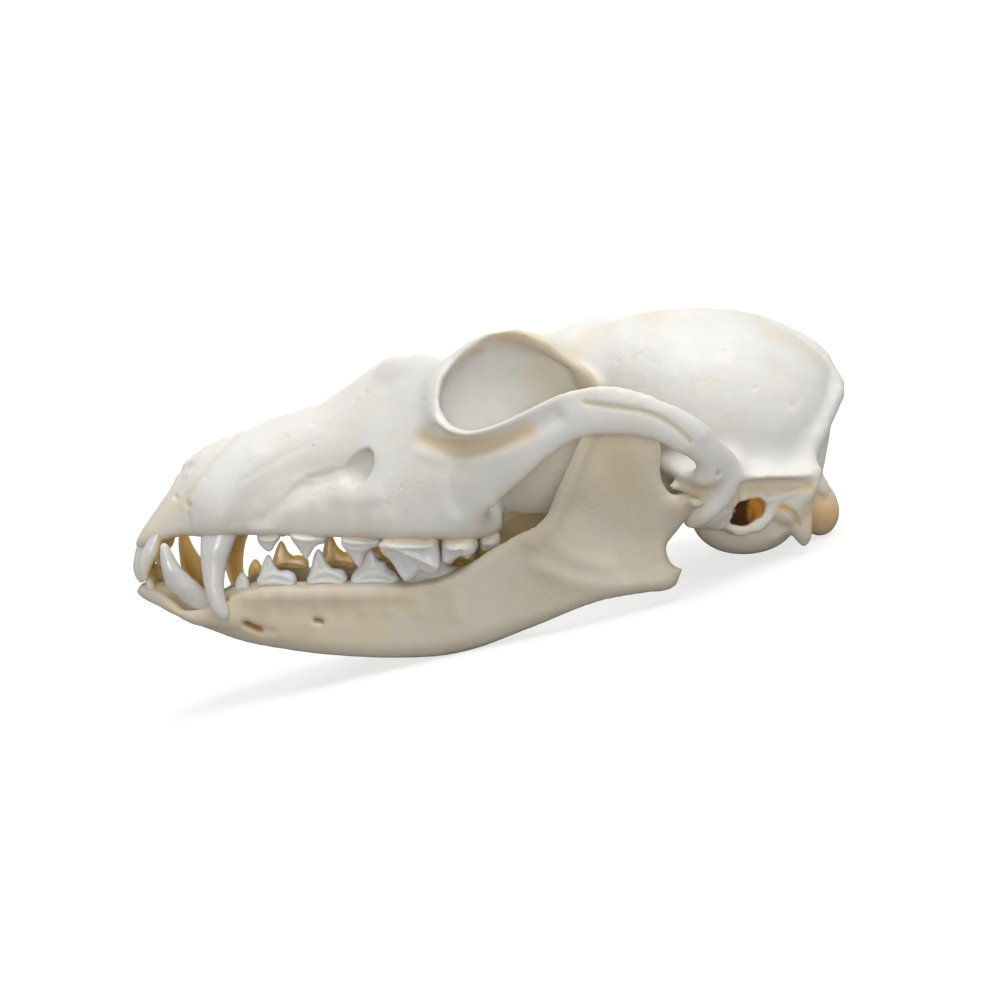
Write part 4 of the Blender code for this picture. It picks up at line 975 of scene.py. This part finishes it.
def slab(name, outline, voxel):
    # a flat piece with this outline in side view, and each point's distance from the outline
    bm = bmesh.new()
    loft(bm, [[(p[0], y, p[2]) for p in outline] for y in (-1.0, 1.0)])
    item = solid(name, bm)
    skin(item, voxel, 0)
    form = readForm(item)
    return item, form, distanceTo(form["co"] * (1, 0, 1), np.vstack([outline, outline[:1]]))


def rounding(near, edge, least):
    # 1 inside a slab, falling to the least at its outline like a quarter of a circle
    return np.sqrt(np.clip(1 - (1 - np.clip(near / edge, 0, 1)) ** 2, least, 1))


def buildJaw(info):
    # built on the side where y is positive
    outline = evenly([(x, 0, z) for x, z in info["outline"] + info["outline"][:1]], 0.7)[:-1]
    item, form, near = slab("jaw", outline, info["voxel"])
    co = form["co"]
    rows = alongX(info["middle"], 1.0)
    middle = np.interp(co[:, 0], rows[:, 0], rows[:, 1])
    thick = np.interp(co[:, 0], rows[:, 0], rows[:, 2])
    lean = np.clip((co[:, 2] + 12) / 40, -0.3, 1) * ramp(co[:, 0], 60, 25)  # the rear blade leans outwards
    gums = np.interp(co[:, 0], *zip(*info["gums"]))
    blunt = ramp(co[:, 2] - gums, -6.5, 4) * (co[:, 0] < 84)  # the edge that holds the teeth is squarer
    # thin behind the teeth
    rim = ramp(co[:, 2], -8.2, 2.5) * ramp(co[:, 0], 66, 3) * ramp(co[:, 0], 96, -8)
    slim = (thick - 1.5) * rim
    middle, thick = middle + slim, thick - slim
    blunt = blunt * (1 - rim)
    edge = thick * 1.2 * (1 - blunt) + 1.3 * blunt
    co[:, 1] = middle + 1.5 * lean + np.clip(co[:, 1], -1, 1) * thick * rounding(near, edge, 0.02)
    writeForm(form)
    for knob in info["knobs"].values():
        join(item, lambda b: rod(b, knob, 18, 0.8, False))
    skin(item, info["voxel"], 3)
    center, size = info["middleCut"]
    bm = bmesh.new()
    bmesh.ops.create_cube(bm, size=1, matrix=Matrix.Translation(center) @ Matrix.Diagonal((*size, 1)))
    carve(item, solid("middleCut", bm))
    return item


# Strokes on the jaw's outer side, drawn like those of the cranium
jawStrokes = [
    ([(81.5, 1.5), (85.2, 7), (88.2, 14), (90.4, 20), (94, 27)], 1.7, 0.7, 6),
    ([(94, 22), (97, 12), (100, 4)], 6.5, -0.9, 6), ([(90, 8), (95, 3)], 4, -0.5, 6),
    ([(82, -3), (90, -6), (98, -6.2), (106, -5.4)], 2, 0.5, 6),
    ([(84, 3), (88, -1), (96, -3)], 1.6, 0.2, 6), ([(23.4, -17.2), (26, -18.4)], 0.6, -1.5, 3),
    ([(26, -18.4), (29, -18.8)], 0.9, -0.35, 3), ([(37.8, -16.1), (38.9, -16.3)], 0.5, -1.2, 3),
    ([(19.6, -12.2), (19.6, -12)], 0.45, -0.5, 3), ([(24, -11.8), (40, -11.2), (56, -10.2)], 1.3, 0.3, 3),
    ([(30, -14), (44, -14)], 2.2, -0.25, 3), ([(8, -14), (13, -16.5), (20, -16)], 2.8, 0.4, 3)]
# Painted masks, as on the cranium
jawTints = {
    # Some stain marks are painted shade, such as the ochre on the coronoid below the arch.
    "stainAndPaintedLight": [
        ([(30, -14.2), (46, -13.6), (56, -12)], 2.6, 0.35, 3), ([(22, -14), (28, -15.5)], 3, 0.3, 3),
        ([(95, 24), (97, 14)], 5, 0.3, 6), ([(23.6, -17.3), (26.2, -18.6)], 1.1, 0.5, 3),
        ([(7, -13.6), (9.6, -15.6)], 1.6, 0.4, 3), ([(2, 4, -10.4), (6, 5, -11.4), (9, 6, -13)], 2.6, 0.45),
        ([(20, -15), (34, -17), (50, -17.5)], 5, 0.25, 3)],
    # Painted shade on the coronoid and the front of the jaw, and inside the mental foramina.
    "shade": [
        ([(95, 25), (97, 13)], 6, 0.07, 6), ([(8, -14), (20, -17), (30, -20)], 5, 0.07, 3),
        ([(23.3, -17), (25.8, -18.2)], 0.4, 0.8, 3), ([(37.8, -16), (38.8, -16.2)], 0.35, 0.7, 3),
        ([(19.6, -12.2), (19.6, -12)], 0.45, 0.5, 3)],
    "amber": [([(23.6, -17.3), (26.2, -18.6)], 0.6, 0.7, 3), ([(37.8, -16.1), (39, -16.4)], 0.5, 0.6, 3)],
}


jawSurface = {"easeSpots": [(109.5, 29.5, 8.5, 3.5), (107, 28, 4, 3)], "waves": [(8, 3, 0.1), (3, 4, 0.04)],
              "roots": (27, 31.5, 38, 42.5, 47.5, 52.5, 58.5, 66)}


def sculptJaw(item):
    form = readForm(item)
    relax(form, nearSpots(form, jawSurface["easeSpots"]), 20)
    writeForm(form)
    form = readForm(item)
    form["co"] += form["normal"] * lumps(form, jawSurface["waves"])[:, None]
    roots = [([(x, -10), (x + 0.3, -13.5)], 1.4, 0.22, 3) for x in jawSurface["roots"]]
    for mark in jawStrokes + roots:
        stroke(form, *mark)
    paint(form, jawTints)
    # Painted light: the jaw's inner side takes the warm stain colour for light bounced inside the mouth.
    form["stainAndPaintedLight"] = np.maximum(form["stainAndPaintedLight"], np.clip(-form["normal"][:, 1] * 1.2, 0, 1) * 0.8)
    writeForm(form, ("stainAndPaintedLight", "seam", "amber", "shade"))


def mirrored(item, name):
    # the item's twin on the other side
    twin = bpy.data.objects.new(name, item.data.copy())
    bpy.context.scene.collection.objects.link(twin)
    bm = bmesh.new()
    bm.from_mesh(twin.data)
    bmesh.ops.scale(bm, vec=(1, -1, 1), verts=bm.verts[:])
    bmesh.ops.reverse_faces(bm, faces=bm.faces[:])
    bm.to_mesh(twin.data)
    bm.free()
    return twin


jawItem = buildJaw(jaw)
sculptJaw(jawItem)
thin(jawItem, jaw["triangles"])
jawTwin = mirrored(jawItem, "jawBoneLeft")
jawItem.name = "jawBoneRight"
place(jawTwin, "mandible_left", jawToneAndShadeMaterial)
place(jawItem, "mandible_right", jawToneAndShadeMaterial)
print("jaw placed:", len(jawItem.data.polygons), "faces a side")


# Teeth. Each cheek tooth: y, turn, half width, and its crown seen from the side as (x, z) points, from the
# front of the gum over the cusps to the back of the gum. Ridges are strokes: path, width, height.
cheekTeeth = {
    "premolar_1_upper": {
        "y": 10.4, "turn": 0, "half": 1.25,
        "crown": [
            (25.8, 0.9), (25.9, -0.4), (26.7, -1.6), (27.8, -2.5), (28.7, -2.3), (29.4, -1.1), (30.2, -0.1),
            (30.9, 1.2)]},
    "premolar_2_upper": {
        "y": 11.6, "turn": 5, "half": 1.55,
        "crown": [
            (32.4, 1.2), (32.9, 0), (33.9, -1.4), (34.9, -2.9), (35.7, -3.9), (36.3, -3.5), (36.9, -2.4),
            (37.6, -1.4), (38.6, -0.8), (39.6, -0.6), (40.2, 0.5), (40.4, 1.6)]},
    "premolar_3_upper": {
        "y": 14.2, "turn": 9, "half": 1.8,
        "crown": [
            (43.1, 1.4), (43.2, -0.2), (43.9, -1.7), (44.9, -3), (45.9, -4.5), (46.7, -5.1), (47.3, -4.4),
            (47.9, -2.5), (48.8, -1.5), (50, -1), (51.2, -0.6), (51.5, 1)],
        "ridges": [([(43.4, -0.5), (46.4, -1.4), (49, -0.6), (50.6, 0.2)], 0.5, 0.28)]},
    "premolar_4_upper": {
        "y": 18.0, "turn": 13, "half": 2.3,
        "crown": [
            (51.6, 1.4), (51, 0), (51.2, -1.6), (52.8, -2.8), (54.1, -4.5), (55, -6), (56.1, -7.3),
            (57, -7.1), (58.3, -6.1), (59.1, -5.3), (60.9, -5.6), (62.5, -5.4), (63.1, -4.3), (63.2, -2.4),
            (62.9, 0.8)],
        "ridges": [
            ([(51.4, -0.2), (54.1, -0.5), (56.9, -1.6), (59.6, -2.7), (62.4, -4.1)], 0.55, 0.45),
            ([(51.8, -1.2), (53.6, -4), (55.6, -6.6)], 0.5, 0.2), ([(55, -2.8), (56.6, -5.6)], 0.9, -0.2),
            ([(58.6, -3.9), (59, -5.2)], 0.4, -0.3), ([(59.5, -0.9), (62, -1.6)], 0.9, -0.2)]},
    "molar_1_upper": {
        "y": 18.9, "turn": 7, "half": 3.2,
        "crown": [
            (63.5, 0.8), (63.4, -2.2), (64.3, -3.7), (65.4, -3.6), (66.5, -2.5), (67.5, -2.3), (68.6, -2.7),
            (69.6, -1.8), (70.5, -0.4), (70.5, 0.9)],
        "ridges": [
            ([(63.9, -3), (66.2, -1.9), (69.6, -0.8)], 0.5, 0.35),
            ([(67.2, -2.2), (67, -0.6)], 0.4, -0.2)]},
    "molar_2_upper": {
        "y": 16.6, "turn": 12, "half": 2.4,
        "crown": [
            (70.9, 1.2), (71, -0.9), (71.9, -1.6), (72.9, -1.2), (73.9, -1.1), (74.8, -0.2), (75, 1.4)]},
    "premolar_1_lower": {
        "y": 8.7, "turn": 0, "half": 1.1,
        "crown": [
            (20.7, -11.2), (20.9, -9), (21.9, -7.3), (22.6, -7.2), (23.3, -8), (23.8, -9.4), (23.8, -11)]},
    "premolar_2_lower": {
        "y": 9.8, "turn": 5, "half": 1.35,
        "crown": [
            (25.5, -10.2), (25.6, -8.6), (26.2, -6.6), (26.8, -4.8), (27.7, -3.3), (28.5, -4), (29.2, -5.6),
            (30.2, -6.5), (31.3, -6.4), (32.8, -6.8), (33.5, -7.7), (33.7, -9.9)],
        "ridges": [
            ([(25.9, -8.6), (27.6, -7.4), (30, -7.2), (33, -8.1)], 0.55, 0.35),
            ([(27.6, -6.2), (27.7, -4.4)], 0.7, -0.12)]},
    "premolar_3_lower": {
        "y": 10.8, "turn": 7, "half": 1.5,
        "crown": [
            (35.8, -9.8), (36, -7.8), (36.7, -5.4), (37.2, -3.3), (38.1, -2), (39, -2.9), (39.7, -4.5),
            (41, -5.8), (42.2, -5.9), (43.4, -6.3), (44, -7.6), (44, -9.6)],
        "ridges": [
            ([(36.1, -8.3), (38.2, -6.8), (40.9, -6.6), (43.5, -7.8)], 0.55, 0.38),
            ([(38.1, -5.4), (38.2, -3.2)], 0.7, -0.12)]},
    "premolar_4_lower": {
        "y": 12.7, "turn": 8, "half": 1.7,
        "crown": [
            (45, -9.4), (44.9, -7.4), (46.2, -5.4), (47.4, -3.2), (48.5, -1.7), (49.6, -2.4), (50.4, -3.9),
            (51.6, -4.2), (52.6, -5.6), (54, -6.4), (54.6, -7.6), (54.5, -9.2)],
        "ridges": [([(45.5, -8), (48.3, -6.6), (51.5, -6.6), (54.2, -7.6)], 0.55, 0.38)]},
    "molar_1_lower": {
        "y": 14.2, "turn": 9, "half": 2.1,
        "crown": [
            (55.6, -9), (55.7, -6.5), (57, -4.4), (58.4, -3.6), (59.6, -4), (60.9, -2.4), (62.2, -1.3),
            (63.2, -2.2), (64.4, -4.4), (66.2, -4.9), (68, -5.1), (69.5, -6.2), (69.7, -8.8)]},
    "molar_2_lower": {
        "y": 16.5, "turn": 13, "half": 1.9,
        "crown": [
            (70.2, -8.6), (70.2, -6.2), (71.3, -5), (72.4, -5.4), (73.6, -5.6), (75, -5.3), (76.2, -6.4),
            (76.3, -8.4)]},
    "molar_3_lower": {
        "y": 18.3, "turn": 16, "half": 1.3,
        "crown": [(76.8, -8.2), (76.9, -6.4), (78, -5.7), (79.2, -5.9), (79.9, -6.8), (79.8, -8)]},
}


def neckStainAndPaintedLight(form, tall, inward):
    # stained at the neck, and painted light on the side that faces the tongue, standing in for light shining
    # through the tooth
    innerPaintedLight = np.clip(form["normal"] @ np.array(inward) * 1.1 + 0.1, 0, 1)
    return np.maximum(np.clip(0.35 - tall / 0.5, 0, 1) * 0.35, innerPaintedLight)


# Heights and widths run from the root to the highest cusp, as shares of the crown's height and half width
cheekToothShape = {"voxel": 0.17, "rootDepth": 2.2, "rootInset": 0.6,
                   "heights": [-1.0, -0.3, 0.0, 0.15, 0.3, 0.6, 1.0],
                   "widths": [0.35, 0.6, 0.85, 1.0, 0.9, 0.62, 0.32]}


def buildCheekTooth(info, upper, shape):
    # a slab with the crown's outline and a short root, thinned from the neck to the cusps
    down = -1 if upper else 1
    crown = np.array(info["crown"], float)
    gum = crown[[0, -1], 1].mean()
    center, half = crown[:, 0].mean(), np.ptp(crown[:, 0]) / 2
    root = gum - down * shape["rootDepth"]
    loop = evenly([(x, 0, z) for x, z in info["crown"]], 0.25)
    ends = [(center + half - shape["rootInset"], 0, root), (center - half + shape["rootInset"], 0, root)]
    item, form, near = slab("tooth", np.vstack([loop, ends]), shape["voxel"])
    co = form["co"]
    tall = (co[:, 2] - gum) * down
    most = max(abs(crown[:, 1] - gum).max(), 1)
    along = co[:, 0] - center
    # the enamel's edge arches between the two roots, and swells just above it
    edgeHeight = 0.1 + 0.75 * np.clip(1 - (along / half) ** 2, 0, 1)
    enamel = ramp(tall, edgeHeight, 0.3)
    lip = np.exp(-((tall - edgeHeight - 0.45) / 0.4) ** 2)
    peaks = [i for i in range(1, len(crown) - 1)
             if (crown[i, 1] - crown[i - 1, 1]) * down > 0 and (crown[i, 1] - crown[i + 1, 1]) * down >= 0]
    rib = np.max([np.exp(-((co[:, 0] - crown[i, 0]) / 1.1) ** 2) for i in peaks], axis=0)
    width = info["half"] * np.interp(tall / most, shape["heights"], shape["widths"])
    width *= 0.84 + 0.08 * enamel + 0.24 * lip + 0.16 * rib * np.clip(tall / most, 0, 1)
    across = np.clip(co[:, 1], -1, 1) * width * rounding(near, width * 0.9, 0.03)
    turn = math.radians(info["turn"])
    co[:, 0] = center + along * math.cos(turn) - across * math.sin(turn)
    co[:, 1] = info["y"] + along * math.sin(turn) + across * math.cos(turn)
    form["stainAndPaintedLight"] = neckStainAndPaintedLight(form, tall - edgeHeight, (0, -1, 0))
    writeForm(form, ("stainAndPaintedLight",))
    form = readForm(item)
    for mark in info.get("ridges", []):
        stroke(form, *mark)
    writeForm(form)
    soften = item.modifiers.new("soften", "SMOOTH")
    soften.iterations = 2
    settle(item)
    return item


# Canines and incisors: x, y, z, half length and half width, from the root's end to the tip
canines = {
    "canine_upper": [
        (23.6, 7.6, 12, 1.2, 1), (21.2, 8.8, 7, 2.6, 1.8), (18.6, 10.2, 2.4, 3.5, 2.3),
        (18.1, 10.6, 0.8, 3.6, 2.3), (17.5, 11.1, -2, 3.1, 2.2), (17.1, 11.4, -4.7, 2.6, 2),
        (17.1, 12, -8.6, 2.05, 1.7), (17.5, 12.3, -11.3, 1.85, 1.6), (18.2, 12.5, -13.6, 1.75, 1.4),
        (18.8, 12.6, -14.9, 1.35, 1.1), (19.25, 12.7, -15.8, 0.7, 0.6), (19.4, 12.7, -16.1, 0.25, 0.25)],
    "canine_lower": [
        (16.4, 6.4, -17.6, 0.8, 0.7), (15, 6.6, -16.2, 1.4, 1.2), (13.9, 6.8, -15, 2.1, 1.6),
        (13, 7.1, -13.6, 2.9, 1.9), (11.9, 7.5, -12, 3.4, 2.2), (10.4, 8.1, -10.2, 3.5, 2.2),
        (9.3, 8.5, -8.5, 3, 2), (8.1, 9, -6.4, 2.1, 1.8), (7.4, 9.2, -4.5, 1.6, 1.4),
        (7, 9.4, -2.8, 1.2, 1.1), (6.8, 9.5, -1.6, 0.85, 0.8), (6.7, 9.5, -1, 0.35, 0.35)],
}
incisors = {
    "incisor_1_upper": [
        (3, 1.6, -0.6, 0.6, 0.6), (2.2, 1.6, -1.2, 1.1, 1), (0.9, 1.62, -2.6, 1.4, 1.3),
        (0.2, 1.65, -5, 1.4, 1.45), (-0.3, 1.65, -7.2, 1.2, 1.4), (-0.2, 1.65, -9, 0.9, 1.25),
        (0.1, 1.65, -10.3, 0.4, 0.9)],
    "incisor_2_upper": [
        (3.7, 4.5, -0.2, 0.7, 0.6), (2.9, 4.4, -1, 1.2, 1), (1.7, 4.35, -2.4, 1.5, 1.3),
        (1, 4.35, -5, 1.5, 1.35), (0.6, 4.35, -7.2, 1.2, 1.2), (0.7, 4.35, -8.9, 0.8, 0.95),
        (0.9, 4.35, -9.8, 0.3, 0.6)],
    "incisor_3_upper": [
        (6.6, 7.2, 3, 0.9, 0.7), (4.9, 7.3, 0.4, 1.3, 1.1), (4, 7.35, -1.6, 1.6, 1.4),
        (3.3, 7.45, -3.5, 1.85, 1.5), (2.55, 7.5, -5.1, 1.6, 1.4), (2.15, 7.6, -7, 1.1, 1.1),
        (2.1, 7.7, -8.3, 0.7, 0.7), (2.2, 7.8, -9, 0.3, 0.3)],
    "incisor_1_lower": [
        (5, 1.5, -15, 0.6, 0.5), (2.8, 1.45, -12.6, 1, 0.85), (2.2, 1.4, -10.8, 1.15, 0.95),
        (1.7, 1.4, -9, 0.9, 0.95), (1.6, 1.4, -7.8, 0.35, 0.7)],
    "incisor_2_lower": [
        (5.6, 3.6, -15, 0.6, 0.5), (3.4, 3.5, -12.8, 1, 0.95), (2.7, 3.45, -10.8, 1.15, 1),
        (2.2, 3.4, -8.8, 0.9, 1), (2.1, 3.4, -7.4, 0.35, 0.7)],
    "incisor_3_lower": [
        (5.8, 5.2, -15, 0.6, 0.6), (3.7, 5.2, -13, 0.9, 0.9), (2.9, 5.2, -11, 1, 1),
        (2.5, 5.2, -9.2, 0.8, 0.9), (2.4, 5.2, -8, 0.3, 0.6)],
}


def buildSpike(rows, gum, upper, inward, sides=28):
    # level ovals, skinned from the root's end to the tip
    bm = bmesh.new()
    around = 2 * math.pi * np.arange(sides) / sides
    loft(bm, [[(x + long * math.cos(a), y + wide * math.sin(a), z) for a in around]
              for x, y, z, long, wide in evenly(rows, 0.35)])
    item = solid("tooth", bm)
    form = readForm(item)
    tall = (form["co"][:, 2] - gum) * (-1 if upper else 1)
    form["stainAndPaintedLight"] = neckStainAndPaintedLight(form, tall, inward)
    writeForm(form, ("stainAndPaintedLight",))
    return item


def placeTooth(item, name):
    # teeth are built on the right, and the twin stands on the left
    item.name = "tooth_" + name + "_right"
    twin = mirrored(item, "tooth_" + name + "_left")
    place(item, name + "_right", enamelMaterial)
    place(twin, name + "_left", enamelMaterial)


gumHeights = {"canine_upper": 0.8, "canine_lower": -14.6}  # an incisor's gum is at its second row
for name, info in cheekTeeth.items():
    placeTooth(buildCheekTooth(info, "upper" in name, cheekToothShape), name)
for spikes, inward in ((canines, (0.25, -0.97, 0)), (incisors, (0.94, -0.34, 0))):
    for name, rows in spikes.items():
        placeTooth(buildSpike(rows, gumHeights.get(name, rows[1][2]), "upper" in name, inward), name)
print("teeth placed")
